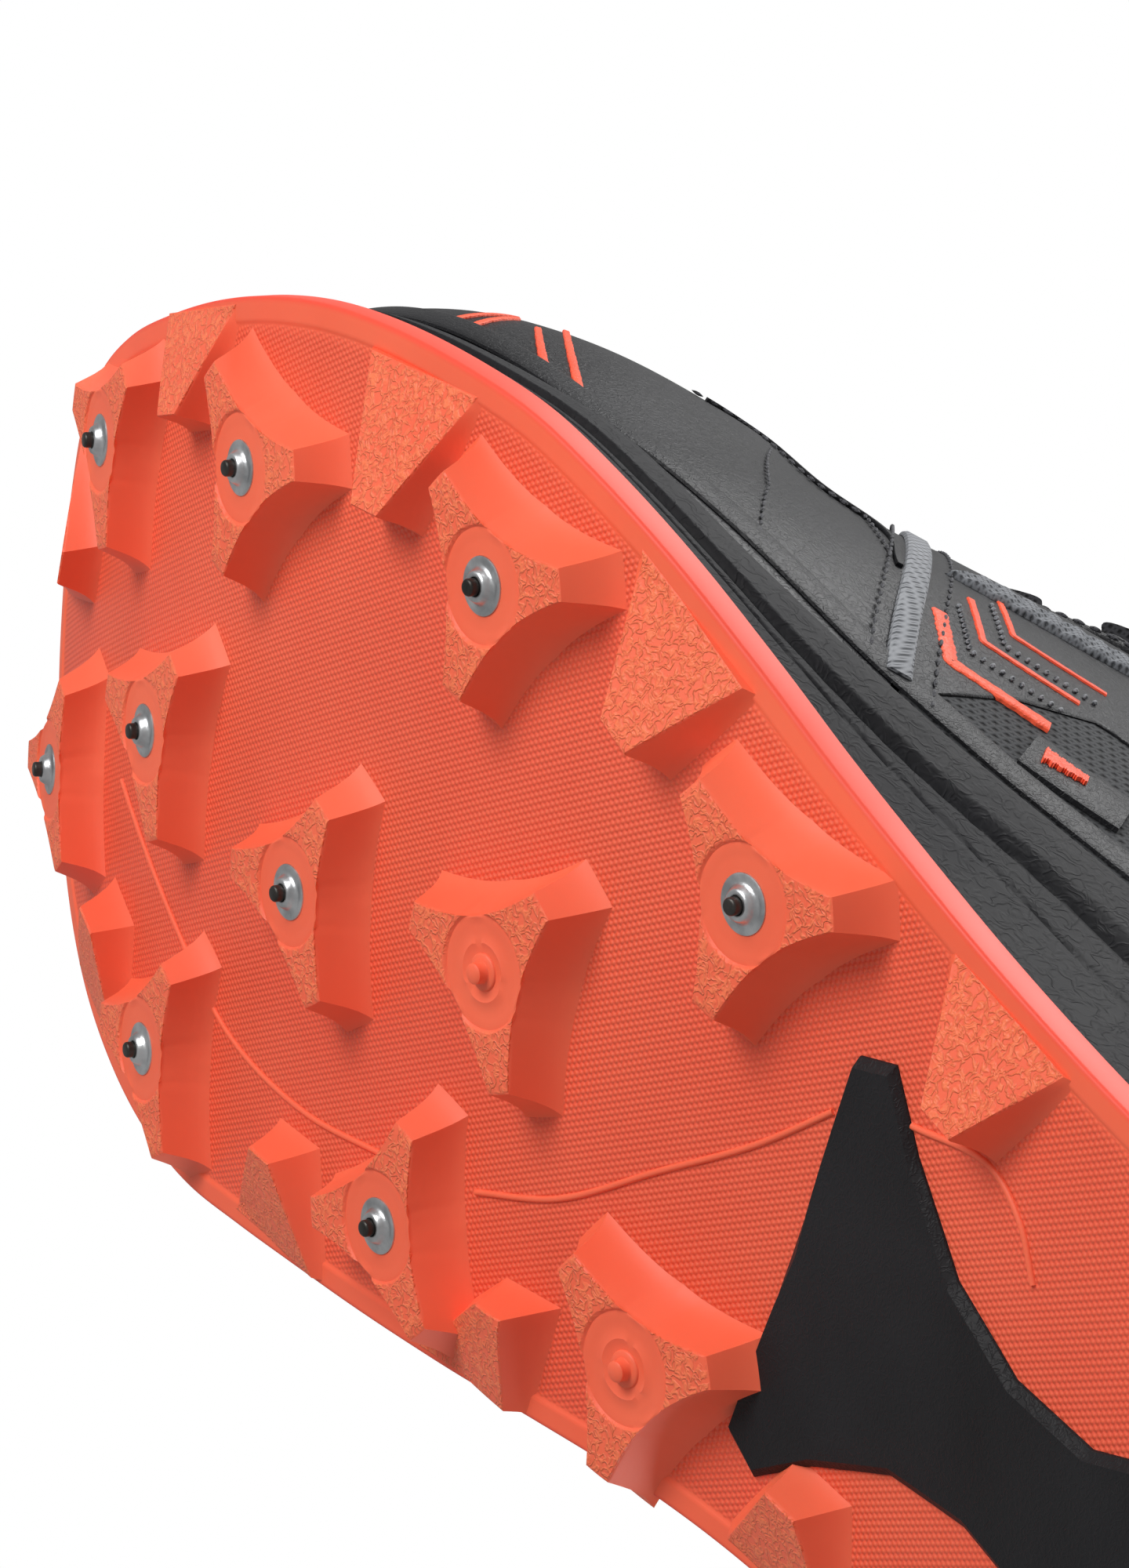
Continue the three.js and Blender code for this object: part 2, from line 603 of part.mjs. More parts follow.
addPiece("heel_pull_tab", panel(patch([0.985, 1.015], [0.68, 0.98]), [overlayFit, 2.2], 2, 3), "webbing");

// Stand the shoe on the ground with the middle of its box on the Z axis.
const box = new THREE.Box3().setFromObject(shoe);
const middle = box.getCenter(new THREE.Vector3());
for (const piece of shoe.children)
  piece.geometry.translate(-middle.x, -middle.y, -box.min.z);

export default shoe;
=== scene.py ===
# A left winter running shoe with steel studs in its rubber sole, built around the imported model.
import bmesh
import bpy
import math
import numpy as np
from mathutils import Matrix, Vector


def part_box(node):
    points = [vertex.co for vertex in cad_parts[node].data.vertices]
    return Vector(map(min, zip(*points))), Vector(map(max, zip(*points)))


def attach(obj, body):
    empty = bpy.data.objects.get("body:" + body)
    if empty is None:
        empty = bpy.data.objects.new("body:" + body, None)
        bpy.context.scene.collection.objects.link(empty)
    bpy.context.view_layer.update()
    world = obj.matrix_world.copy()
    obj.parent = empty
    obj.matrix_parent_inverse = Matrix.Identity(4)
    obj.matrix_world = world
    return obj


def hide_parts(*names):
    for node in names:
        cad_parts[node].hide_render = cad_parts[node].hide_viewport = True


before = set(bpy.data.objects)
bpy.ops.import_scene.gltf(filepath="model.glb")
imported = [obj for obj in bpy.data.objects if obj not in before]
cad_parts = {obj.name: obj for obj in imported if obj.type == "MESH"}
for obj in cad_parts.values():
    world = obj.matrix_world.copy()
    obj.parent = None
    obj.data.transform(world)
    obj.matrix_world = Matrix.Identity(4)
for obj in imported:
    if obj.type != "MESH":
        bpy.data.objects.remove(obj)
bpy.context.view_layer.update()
print("frame loaded")

# Shapes are worked out in millimetres from the ball of the foot: toe along -Y, outer side +X, up +Z.
sole = {
    "flexAngle": math.radians(14), "ballX": -1.0, "ballY": 15.5, "toeBend": 0.00111, "toeCurl": 5.4e-6,
    "archRise": 3.0, "archLength": 112.0, "heelBevelStart": 182.0, "heelBevel": 0.012,
    "lug": 5.0, "sheet": 3.0, "footbedToe": 13.0, "footbedHeel": 27.0, "footbedFrom": -20.0,
    "footbedTo": 130.0,
    "rimToe": 2.0, "rimHeel": 11.5, "rimFrom": 18.0, "rimTo": 74.0, "cupInset": 6.3,
    "firstHeelStud": (23.5, 136.0), "pinDrop": 2.0, "bedGap": 0.3,
}
low, high = (np.array(corner) * 1000 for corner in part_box("stud_pin_10"))
shift = np.array([(low[0] + high[0]) / 2 - sole["firstHeelStud"][0],
                  (low[1] + high[1]) / 2 - sole["firstHeelStud"][1], low[2] + sole["pinDrop"]])

lateralOutline = np.array([
    [-12, -103], [-2, -101], [9, -94.5], [20, -83.5], [29, -71.5], [36.7, -60], [43.2, -48.5],
    [48.5, -36.5], [52.3, -24], [54.8, -11], [55.9, 1], [55, 12], [52.8, 24], [49, 38], [45.5, 50],
    [42.8, 62], [40.8, 74], [39.6, 88], [39.2, 104], [39.6, 122], [40.2, 142], [39.2, 161],
    [35.5, 177], [27.5, 189], [15, 196], [1, 198]], float)
medialOutline = np.array([
    [-12, -103], [-22, -101.5], [-33, -97], [-43, -88.5], [-50.5, -77], [-55.5, -64], [-57.6, -50],
    [-57.6, -37], [-55.8, -25], [-52.3, -13], [-48.8, -1], [-45.3, 12], [-41.5, 26], [-37.5, 41],
    [-34, 57], [-31.8, 74], [-31, 92], [-31.8, 110], [-34, 128], [-36.5, 146], [-36.2, 163],
    [-32.5, 178], [-24.5, 189.5], [-13, 196], [1, 198]], float)

# Rows by place from toe (0) to heel (1): opening edge x, y, z, then rise, bulge, flare and drop.
lateralUpper = np.array([
    [0, -2, -24, 80, 20.5, 9, 0.55, 3], [0.12, 2.3, -23.5, 80, 21, 13.5, 0.6, 2.5],
    [0.22, 7.7, -22, 80, 21.5, 14.5, 0.62, 1], [0.3, 12.8, -19, 80.5, 20.5, 8, 0.53, -1],
    [0.36, 17.9, -12, 82.5, 18, 2.5, 0.38, -2], [0.44, 22.5, 8, 89.5, 18, 1.2, 0.38, -3],
    [0.52, 23.5, 30, 97, 21.5, 2, 0.3, -4], [0.6, 23, 54, 104, 26, 2.5, 0.23, -8],
    [0.66, 24.5, 74, 100.5, 30, 3, 0.18, -14], [0.72, 30, 94, 89, 28, 3, 0.1, -18],
    [0.8, 33, 118, 81, 24, 4, 0.1, -18], [0.88, 31, 145, 85, 24, 5, 0.1, -20],
    [0.94, 24, 171, 92, 26, 5, 0.1, -22], [0.97, 13.7, 180.8, 96.5, 27, 5, 0.1, -23],
    [1, 1, 184, 98, 28, 5, 0.1, -24]], float)
medialUpper = np.array([
    [0, -2, -24, 80, 20.5, 9, 0.55, 3], [0.12, -6.3, -23.5, 80, 21, 9, 0.6, 2.5],
    [0.22, -11, -22, 80, 21.5, 8, 0.6, 1], [0.3, -15, -19, 80.5, 20.5, 6, 0.5, -1],
    [0.36, -18.5, -12, 82.5, 19, 3, 0.4, -2], [0.44, -20.5, 8, 89.5, 20, 1, 0.38, -3],
    [0.52, -21, 30, 97, 23, 0, 0.3, -4], [0.6, -21.5, 54, 104, 27, -1, 0.23, -8],
    [0.66, -24.5, 74, 100.5, 31, 0, 0.18, -14], [0.72, -28.5, 94, 91, 28, 2, 0.1, -18],
    [0.8, -31, 118, 83, 24, 4, 0.1, -18], [0.88, -29, 145, 86, 24, 5, 0.1, -20],
    [0.94, -22, 171, 93, 26, 5, 0.1, -22], [0.97, -11.7, 180.8, 96.5, 27, 5, 0.1, -23],
    [1, 1, 184, 98, 28, 5, 0.1, -24]], float)


def smooth(a, b, t):  # 3 s^2 - 2 s^3 with s the share of the way from a to b
    s = np.clip((t - a) / (b - a), 0, 1)
    return s * s * (3 - 2 * s)


def bump(t, centre, width):  # a round ridge, cosine in section, 1 at its centre and 0 a width away
    return np.where(np.abs(t - centre) < width, 0.5 + 0.5 * np.cos(math.pi * (t - centre) / width), 0)


def unit(vectors):  # each vector divided by its own length
    return vectors / np.linalg.norm(vectors, axis=-1, keepdims=True)


def circle(count):  # even angles round a full turn, the last one short of the first
    return np.linspace(0, 2 * math.pi, count, endpoint=False)


def grid(rows, columns):  # u runs from 0 to 1 down the rows and v from 0 to 1 along the columns
    return np.meshgrid(np.linspace(0, 1, rows), np.linspace(0, 1, columns), indexing="ij")


def toeLift(x, y):  # bend d^2 + curl d^3, d the distance ahead of the ball along the flex direction
    sn, cs = math.sin(sole["flexAngle"]), math.cos(sole["flexAngle"])
    d = np.maximum(0, -(x - sole["ballX"]) * sn - (y - sole["ballY"]) * cs)
    return sole["toeBend"] * d**2 + sole["toeCurl"] * d**3


def treadHeight(x, y):  # toe lift + arch sin^2 + square of the distance past the heel bevel's start
    sn, cs = math.sin(sole["flexAngle"]), math.cos(sole["flexAngle"])
    b = np.clip((x - sole["ballX"]) * sn + (y - sole["ballY"]) * cs, 0, sole["archLength"])
    arch = sole["archRise"] * np.sin(math.pi * b / sole["archLength"]) ** 2
    return toeLift(x, y) + arch + sole["heelBevel"] * np.maximum(0, y - sole["heelBevelStart"]) ** 2


def onTread(points, lift):  # plan points raised to the tread's height plus a lift
    return np.stack([*points.T, treadHeight(*points.T) + lift], -1)


def sheetTop(x, y):  # tread height + lug height + sheet thickness
    return treadHeight(x, y) + sole["lug"] + sole["sheet"]


def footbed(x, y):  # toe lift + toe level + the rise to the heel, eased by smooth along the shoe
    rise = sole["footbedHeel"] - sole["footbedToe"]
    return toeLift(x, y) + sole["footbedToe"] + rise * smooth(sole["footbedFrom"], sole["footbedTo"], y)


def rimTop(x, y):  # footbed + the rim's height, eased from its toe value to its heel value
    climb = smooth(sole["rimFrom"], sole["rimTo"], y)
    return footbed(x, y) + sole["rimToe"] + (sole["rimHeel"] - sole["rimToe"]) * climb


def denseCurve(points, count):  # centripetal Catmull-Rom through the points, resampled at even length
    p = np.vstack([2 * points[0] - points[1], points, 2 * points[-1] - points[-2]])
    gap = np.sqrt(np.linalg.norm(np.diff(p, axis=0), axis=1))[:, None]
    t = np.linspace(0, 1, 40, endpoint=False)[None, :, None]
    p0, p1, p2, p3 = p[:-3, None], p[1:-2, None], p[2:-1, None], p[3:, None]
    d0, d1, d2 = gap[:-2, None], gap[1:-1, None], gap[2:, None]
    a = ((p1 - p0) / d0 - (p2 - p0) / (d0 + d1) + (p2 - p1) / d1) * d1
    b = ((p2 - p1) / d1 - (p3 - p1) / (d1 + d2) + (p3 - p2) / d2) * d1
    curve = (2 * p1 - 2 * p2 + a + b) * t**3 + (3 * p2 - 3 * p1 - 2 * a - b) * t**2 + a * t + p1
    return evenly(np.vstack([curve.reshape(-1, points.shape[1]), points[-1]]), count)


def evenly(curve, count):  # the same line with its points at even steps of running length
    length = np.r_[0, np.cumsum(np.linalg.norm(np.diff(curve, axis=0), axis=1))]
    even = np.linspace(0, length[-1], count)
    return np.stack([np.interp(even, length, curve[:, k]) for k in range(curve.shape[1])], -1)


def smoothLoop(values, width):  # a closed row of values, averaged under a cosine bell
    kernel = np.hanning(2 * width + 1)
    wrapped = np.r_[values[-width:], values, values[:width]]
    return np.convolve(wrapped, kernel / kernel.sum(), "valid")


# points along each half of the outline, and the reach of the bell that evens them
half, evened = 900, 8
loopXY = np.vstack([denseCurve(medialOutline, half + 1)[::-1], denseCurve(lateralOutline, half + 1)[1:-1]])
loopPlace = np.r_[np.linspace(-1, 0, half + 1), np.linspace(0, 1, half + 1)[1:-1]]
loopX, loopY = smoothLoop(loopXY[:, 0], evened), smoothLoop(loopXY[:, 1], evened)
alongX, alongY = np.roll(loopX, -1) - np.roll(loopX, 1), np.roll(loopY, -1) - np.roll(loopY, 1)
loopNx = smoothLoop(alongY / np.hypot(alongX, alongY), evened)
loopNy = smoothLoop(-alongX / np.hypot(alongX, alongY), evened)


def outlineAt(place, inset):  # the sole's outline at a place, moved inwards along its normal
    turn = (np.asarray(place, float) + 1) % 2 - 1
    x, y, nx, ny = (np.interp(turn, loopPlace, v, period=2) for v in (loopX, loopY, loopNx, loopNy))
    return x - nx * inset, y - ny * inset, nx, ny


def tableAt(table, t):  # cubic Hermite through the rows, with slopes from the neighbours
    x, v = table[:, 0], table[:, 1:]
    slope = np.gradient(v, x, axis=0)
    i = np.clip(np.searchsorted(x, t, side="right") - 1, 0, len(x) - 2)
    h = (x[i + 1] - x[i])[..., None]
    s = (t - x[i])[..., None] / h
    a, b, c, d = v[i], v[i + 1], slope[i] * h, slope[i + 1] * h
    return (2 * a - 2 * b + c + d) * s**3 + (3 * b - 3 * a - 2 * c - d) * s**2 + c * s + a


def skin(place, height):
    # cubic Bezier: from the footbed's edge out and up by bulge and rise, then in by flare to the opening
    place, height = np.broadcast_arrays(np.asarray(place, float), np.asarray(height, float))
    turn = (place + 1) % 2 - 1
    medial, lateral = tableAt(medialUpper, np.abs(turn)), tableAt(lateralUpper, np.abs(turn))
    x, y, z, rise, bulge, flare, drop = np.moveaxis(np.where((turn < 0)[..., None], medial, lateral), -1, 0)
    fx, fy, nx, ny = outlineAt(place, sole["cupInset"])
    foot = np.stack([fx, fy, footbed(fx, fy) + sole["bedGap"]], -1)
    edge = np.stack([x, y, z], -1)
    lowPoint = foot + np.stack([nx * bulge, ny * bulge, rise], -1)
    highPoint = edge + np.stack([(fx - x) * flare, (fy - y) * flare, drop], -1)
    h = height[..., None]
    ends = foot * (1 - h) ** 3 + edge * h**3
    return ends + 3 * lowPoint * h * (1 - h) ** 2 + 3 * highPoint * h**2 * (1 - h)


def skinFrame(place, height):  # the skin's two slopes and its unit normal
    step = 0.004
    h = np.clip(height, step, 1 - step)
    alongPlace = (skin(place + step, h) - skin(place - step, h)) / (2 * step)
    alongHeight = (skin(place, h + step) - skin(place, h - step)) / (2 * step)
    normal = np.cross(alongPlace, alongHeight)
    return alongPlace, alongHeight, unit(normal)


def offSkin(place, height, amount):  # the skin moved out along its normal
    return skin(place, height) + skinFrame(place, height)[2] * np.asarray(amount, float)[..., None]


def makePiece(name, body, finishName, uv=None, masks=None, smoothAngle=40, welded=False):
    # body is vertices in millimetres and faces as rows of corners; uv and masks hold one value a vertex
    vertices, faces = body
    mesh = bpy.data.meshes.new(name)
    points = (vertices + shift) / 1000
    triangle = faces[:, 2] == faces[:, 3]
    mesh.from_pydata(points.tolist(), [], faces[~triangle].tolist() + faces[triangle][:, :3].tolist())
    if uv is not None:
        corners = np.empty(len(mesh.loops), np.int32)
        mesh.loops.foreach_get("vertex_index", corners)
        mesh.uv_layers.new(name="place").data.foreach_set("uv", uv[corners].ravel())
    for maskName, values in (masks or {}).items():
        mesh.attributes.new(maskName, "FLOAT", "POINT").data.foreach_set("value", values.astype(np.float32))
    if welded:
        weld(mesh)
    mesh.shade_smooth()
    mesh.set_sharp_from_angle(angle=math.radians(smoothAngle))
    piece = bpy.data.objects.new(name, mesh)
    bpy.context.collection.objects.link(piece)
    mesh.materials.append(finishes[finishName])
    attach(piece, "root")
    return piece


def weld(mesh):  # joins points that fall together and drops the faces that this leaves empty
    work = bmesh.new()
    work.from_mesh(mesh)
    bmesh.ops.remove_doubles(work, verts=work.verts, dist=3e-6)
    bmesh.ops.dissolve_degenerate(work, edges=work.edges, dist=1e-6)
    work.to_mesh(mesh)
    work.free()


def gridFaces(rows, columns, closeRows=False, closeColumns=False, start=0):
    # one square of four corners between neighbours, row by row; closed ways also join the last to the first
    i = np.arange(rows if closeRows else rows - 1)[:, None]
    j = np.arange(columns if closeColumns else columns - 1)[None, :]
    a, b = i * columns + j, (i + 1) % rows * columns + j
    c, d = (i + 1) % rows * columns + (j + 1) % columns, i * columns + (j + 1) % columns
    return np.stack([a, b, c, d], -1).reshape(-1, 4) + start


def outwardFaces(vertices, faces):
    # turns every face round when the closed mesh's volume comes out negative; a doubled corner stays last
    a, b, c, d = (vertices[faces[:, k]] for k in range(4))
    volume = (np.cross(a, b) * c).sum() + (np.cross(a, c) * d).sum()
    if volume > 0:
        return faces
    triangle = (faces[:, 2] == faces[:, 3])[:, None]
    return np.where(triangle, faces[:, [1, 0, 2, 3]], faces[:, ::-1])


def shell(outer, inner):  # two sheets of the same grid, joined round their four edges
    rows, columns = outer.shape[:2]
    count = rows * columns
    at = np.arange(count).reshape(rows, columns)
    rim = np.r_[at[0], at[1:, -1], at[-1, -2::-1], at[-2:0:-1, 0]]
    after = np.roll(rim, -1)
    faces = np.vstack([gridFaces(rows, columns), gridFaces(rows, columns, start=count)[:, ::-1],
                       np.stack([rim, after, after + count, rim + count], -1)])
    vertices = np.vstack([outer.reshape(-1, 3), inner.reshape(-1, 3)])
    return vertices, outwardFaces(vertices, faces)


def gather(parts):  # several closed meshes as one; each part starts with its vertices and faces
    starts = np.cumsum([0] + [len(part[0]) for part in parts[:-1]])
    faces = np.vstack([part[1] + start for part, start in zip(parts, starts)])
    return np.vstack([part[0] for part in parts]), faces


def capped(rings):
    # closed rings of points along a path; each end is a fan of triangles to its middle, written as squares
    # whose last corner is doubled
    count, around = rings.shape[:2]
    vertices = np.vstack([rings.reshape(-1, 3), rings[0].mean(0), rings[-1].mean(0)])
    i = np.arange(around)
    n = (i + 1) % around
    first, last = count * around, count * around + 1
    top = (count - 1) * around
    firstFan = np.stack([i, n, i * 0 + first, i * 0 + first], -1)
    lastFan = np.stack([n + top, i + top, i * 0 + last, i * 0 + last], -1)
    faces = np.vstack([gridFaces(count, around, closeColumns=True)[:, ::-1], firstFan[:, [1, 0, 2, 3]],
                       lastFan[:, [1, 0, 2, 3]]])
    return vertices, outwardFaces(vertices, faces)


class Graph:  # a node tree being built; an input is a constant or the socket of another node
    def __init__(self, tree):
        self.tree = tree

    def feed(self, socket, value):
        if isinstance(value, bpy.types.NodeSocket):
            self.tree.links.new(value, socket)
        else:
            socket.default_value = value

    def node(self, kind, inputs=None, **settings):
        node = self.tree.nodes.new("ShaderNode" + kind)
        for key, value in settings.items():
            setattr(node, key, value)
        for key, value in (inputs or {}).items():
            self.feed(node.inputs[key], value)
        return node

    def math(self, operation, *values):
        return self.node("Math", dict(enumerate(values)), operation=operation).outputs[0]


class Group(Graph):  # a node group that turns a vector and some numbers into heights
    def __init__(self, name, numbers, results=("Height",)):
        super().__init__(bpy.data.node_groups.new(name, "ShaderNodeTree"))
        self.tree.interface.new_socket("Vector", in_out="INPUT", socket_type="NodeSocketVector")
        for key, value in numbers.items():
            socket = self.tree.interface.new_socket(key, in_out="INPUT", socket_type="NodeSocketFloat")
            socket.default_value = value
        for key in results:
            self.tree.interface.new_socket(key, in_out="OUTPUT", socket_type="NodeSocketFloat")
        self.source = self.tree.nodes.new("NodeGroupInput").outputs
        self.sink = self.tree.nodes.new("NodeGroupOutput").inputs


def makeBeads():
    # a hexagonal field of round beads: the sum of three cosine waves 60 degrees apart
    g = Group("beadField", {"Pitch": 0.00065})
    wave = g.math("DIVIDE", 4 * math.pi / math.sqrt(3), g.source["Pitch"])
    waves = []
    for turn in np.radians((20, 80, 140)):
        direction = (math.cos(turn), math.sin(turn), 0)
        dot = g.node("VectorMath", {0: g.source["Vector"], 1: direction}, operation="DOT_PRODUCT")
        waves.append(g.math("COSINE", g.math("MULTIPLY", dot.outputs["Value"], wave)))
    total = g.math("ADD", g.math("ADD", waves[0], waves[1]), waves[2])
    scaled = g.math("MULTIPLY_ADD", total, 0.22, 0.34)
    g.feed(g.sink["Height"], g.math("POWER", g.math("MAXIMUM", scaled, 0.0), 0.75))
    return g.tree


def makeStipple():
    # worm-like ridges where a noise is close to its middle: 1 - 9 times the distance from it, at least 0
    g = Group("stipple", {"Scale": 1300.0})
    noise = g.node("TexNoise", {"Vector": g.source["Vector"], "Scale": g.source["Scale"],
                                "Detail": 1.5, "Distortion": 0.7})
    away = g.math("ABSOLUTE", g.math("SUBTRACT", noise.outputs["Fac"], 0.5))
    ridge = g.math("SUBTRACT", 1.0, g.math("MULTIPLY", away, 9.0))
    g.feed(g.sink["Height"], g.math("MAXIMUM", ridge, 0.0))
    return g.tree


def makeWeave():
    # over-and-under threads: 0.7 times the larger of two cosines' sizes plus 0.4 of the sines' product
    g = Group("weave", {"Warp": 900.0, "Weft": 900.0})
    split = g.node("SeparateXYZ", {0: g.source["Vector"]}).outputs
    x = g.math("MULTIPLY", split["X"], g.source["Warp"])
    y = g.math("MULTIPLY", split["Y"], g.source["Weft"])
    over = g.math("MULTIPLY", g.math("SINE", x), g.math("SINE", y))
    across, along = (g.math("ABSOLUTE", g.math("COSINE", angle)) for angle in (x, y))
    woven = g.math("MULTIPLY_ADD", over, 0.4, g.math("MAXIMUM", across, along))
    g.feed(g.sink["Height"], g.math("MULTIPLY", woven, 0.7))
    return g.tree


def makeCloudy():
    # slow and fast noise, for colour change and fine grain
    g = Group("cloudy", {"Slow": 40.0, "Fast": 900.0}, ("Slow", "Fast"))
    for key, detail in (("Slow", 4.0), ("Fast", 3.0)):
        noise = g.node("TexNoise", {"Vector": g.source["Vector"], "Scale": g.source[key], "Detail": detail})
        g.feed(g.sink[key], noise.outputs["Fac"])
    return g.tree


groups = {"beads": makeBeads(), "stipple": makeStipple(), "weave": makeWeave(), "cloudy": makeCloudy()}


class Finish(Graph):  # one material: its shader, the coordinates that patterns read and its stacked reliefs
    def __init__(self, name, constants):
        self.material = bpy.data.materials.new(name)
        self.material.use_nodes = True
        super().__init__(self.material.node_tree)
        self.shader = self.tree.nodes["Principled BSDF"].inputs
        for key, value in constants.items():
            self.shader[key].default_value = value
        coordinates = self.node("TexCoord").outputs
        self.place, self.uv = coordinates["Object"], coordinates["UV"]
        self.normal = None

    def group(self, key, vector=None, **values):
        node = self.node("Group", node_tree=groups[key])
        for socket, value in {"Vector": vector or self.place, **values}.items():
            self.feed(node.inputs[socket], value)
        return node.outputs

    def mask(self, name):
        return self.node("Attribute", attribute_name=name).outputs["Fac"]

    def ramp(self, factor, *stops):  # two stops, each a position and a colour
        node = self.node("ValToRGB", {"Fac": factor})
        for element, (position, colour) in zip(node.color_ramp.elements, stops):
            element.position = position
            element.color = (*colour, 1)
        return node.outputs["Color"]

    def blend(self, factor, first, second):  # each colour is a socket, or red, green and blue
        node = self.node("Mix", {0: factor}, data_type="RGBA")
        for socket, value in ((node.inputs[6], first), (node.inputs[7], second)):
            self.feed(socket, (*value, 1) if isinstance(value, tuple) else value)
        return node.outputs[2]

    def relief(self, height, distance):  # bump in millimetres, stacked on the ones before
        bumpNode = self.node("Bump", {"Height": height, "Distance": distance / 1000, "Strength": 1.0})
        if self.normal:
            self.feed(bumpNode.inputs["Normal"], self.normal)
        self.normal = bumpNode.outputs["Normal"]

    def done(self, colour, roughness=None):
        for key, value in (("Base Color", colour), ("Roughness", roughness), ("Normal", self.normal)):
            if value is not None:
                self.feed(self.shader[key], value)
        return self.material


def rubberFinish():
    # orange rubber: beads on the sheet with painted shade in the hollows between them, stipple on the lug
    # faces with lighter ridges, and painted shade as a thin darker red along the rim edge
    f = Finish("outsoleRubber", {"Specular IOR Level": 0.42, "Subsurface Weight": 0.12,
                                 "Subsurface Scale": 0.002, "Subsurface Radius": (1.0, 0.25, 0.1)})
    cloud = f.group("cloudy", Slow=35.0, Fast=1500.0)
    beads = f.group("beads", Pitch=0.00072)["Height"]
    worms = f.math("MULTIPLY", f.mask("stipple"), f.group("stipple", Scale=1050.0)["Height"])
    base = f.ramp(cloud["Slow"], (0.3, (0.93, 0.125, 0.055)), (0.7, (1.0, 0.165, 0.078)))
    # lighter orange on the stipple's raised ridges
    ridgeTinted = f.blend(worms, base, (1.0, 0.21, 0.085))
    # painted shade: the hollows between the beads are darkened towards a deep red
    pitShade = f.math("MULTIPLY", f.mask("bead"), f.math("SUBTRACT", 1.0, beads))
    pitShaded = f.blend(f.math("MULTIPLY", pitShade, 0.45), ridgeTinted, (0.72, 0.045, 0.025))
    # painted shade: the edge mask darkens the rounded rim edge to a deeper red
    rimShaded = f.blend(f.mask("edge"), pitShaded, (0.85, 0.05, 0.025))
    f.relief(f.math("MULTIPLY", f.mask("bead"), beads), 0.16)
    f.relief(worms, 0.12)
    f.relief(cloud["Fast"], 0.012)
    return f.done(rimShaded, f.math("MULTIPLY_ADD", cloud["Slow"], 0.22, 0.4))


def metalFinish(name, dark, bright, roughness, metallic=1.0):
    # slightly pitted metal, duller where the fast noise is high
    f = Finish(name, {"Metallic": metallic})
    cloud = f.group("cloudy", Slow=420.0, Fast=2600.0)
    f.relief(cloud["Fast"], 0.02)
    return f.done(f.ramp(cloud["Slow"], (0.35, dark), (0.65, bright)),
                  f.math("MULTIPLY_ADD", cloud["Fast"], 0.25, roughness - 0.12))


def plainFinish(name, dark, bright, roughness, grain=900.0, depth=0.03, coat=0.0):
    # a moulded or coated surface with fine grain and slow colour change
    f = Finish(name, {"Coat Weight": coat, "Coat Roughness": 0.35, "Specular IOR Level": 0.16})
    cloud = f.group("cloudy", Slow=45.0, Fast=grain)
    f.relief(f.group("stipple", Scale=grain * 0.9)["Height"], depth)
    f.relief(cloud["Fast"], depth)
    return f.done(f.ramp(cloud["Slow"], (0.3, dark), (0.7, bright)),
                  f.math("MULTIPLY_ADD", cloud["Slow"], 0.2, roughness - 0.1))


def clothFinish(name, dark, bright, warp, weft, depth=0.12, roughness=0.85, useUv=True):
    # cloth on the piece's own map or on its coordinates; warp and weft are angles in radians per metre
    f = Finish(name, {"Roughness": roughness, "Sheen Weight": 0.04, "Sheen Roughness": 0.5,
                      "Specular IOR Level": 0.25})
    weave = f.group("weave", f.uv if useUv else None, Warp=warp, Weft=weft)["Height"]
    cloud = f.group("cloudy", Slow=60.0, Fast=2400.0)
    threads = f.ramp(weave, (0.25, dark), (0.8, bright))
    f.relief(weave, depth)
    f.relief(cloud["Fast"], depth * 0.3)
    return f.done(f.blend(f.math("MULTIPLY", cloud["Slow"], 0.35), threads, dark))


def grey(level, blue):  # equal red and green, and a blue of its own
    return level, level, blue


finishes = {
    "rubber": rubberFinish(),
    "steel": metalFinish("studSteel", (0.42, 0.43, 0.44), (0.68, 0.69, 0.7), 0.34),
    "carbide": metalFinish("studCarbide", (0.035, 0.033, 0.03), (0.075, 0.07, 0.065), 0.42, 0.85),
    "board": clothFinish("boardFibre", (0.35, 0.3, 0.22), (0.6, 0.54, 0.42), 2500.0, 2500.0, 0.05, 0.9,
                         False),
    "mesh": clothFinish("quarterMesh", grey(0.005, 0.006), (0.052, 0.054, 0.058), 3900.0, 3000.0, 0.2, 0.8),
    "tape": clothFinish("webbingTape", (0.05, 0.053, 0.058), (0.24, 0.25, 0.27), 5200.0, 5200.0, 0.12, 0.8),
    "film": plainFinish("orangeFilm", (0.86, 0.085, 0.04), (0.98, 0.13, 0.055), 0.42, 1500.0, 0.03),
    "seam": clothFinish("seamBand", (0.07, 0.074, 0.082), (0.34, 0.35, 0.37), 6500.0, 6500.0, 0.1, 0.8,
                        False),
}
# name, dark level and blue, bright level and blue, roughness, grain, depth and coat
for key, name, low, lowBlue, top, topBlue, *rest in (
        ("shank", "shankPlastic", 0.010, 0.011, 0.018, 0.02, 0.5, 1500.0, 0.03),
        ("foam", "midsoleFoam", 0.005, 0.006, 0.011, 0.013, 0.62, 700.0, 0.05),
        ("coating", "toeCoating", 0.004, 0.005, 0.009, 0.011, 0.42, 1300.0, 0.035, 0.06),
        ("counter", "counterPlastic", 0.010, 0.011, 0.02, 0.022, 0.42, 900.0, 0.03),
        ("eyestay", "eyestayCoating", 0.004, 0.005, 0.01, 0.012, 0.44, 1600.0, 0.03, 0.04)):
    finishes[key] = plainFinish(name, grey(low, lowBlue), grey(top, topBlue), *rest)
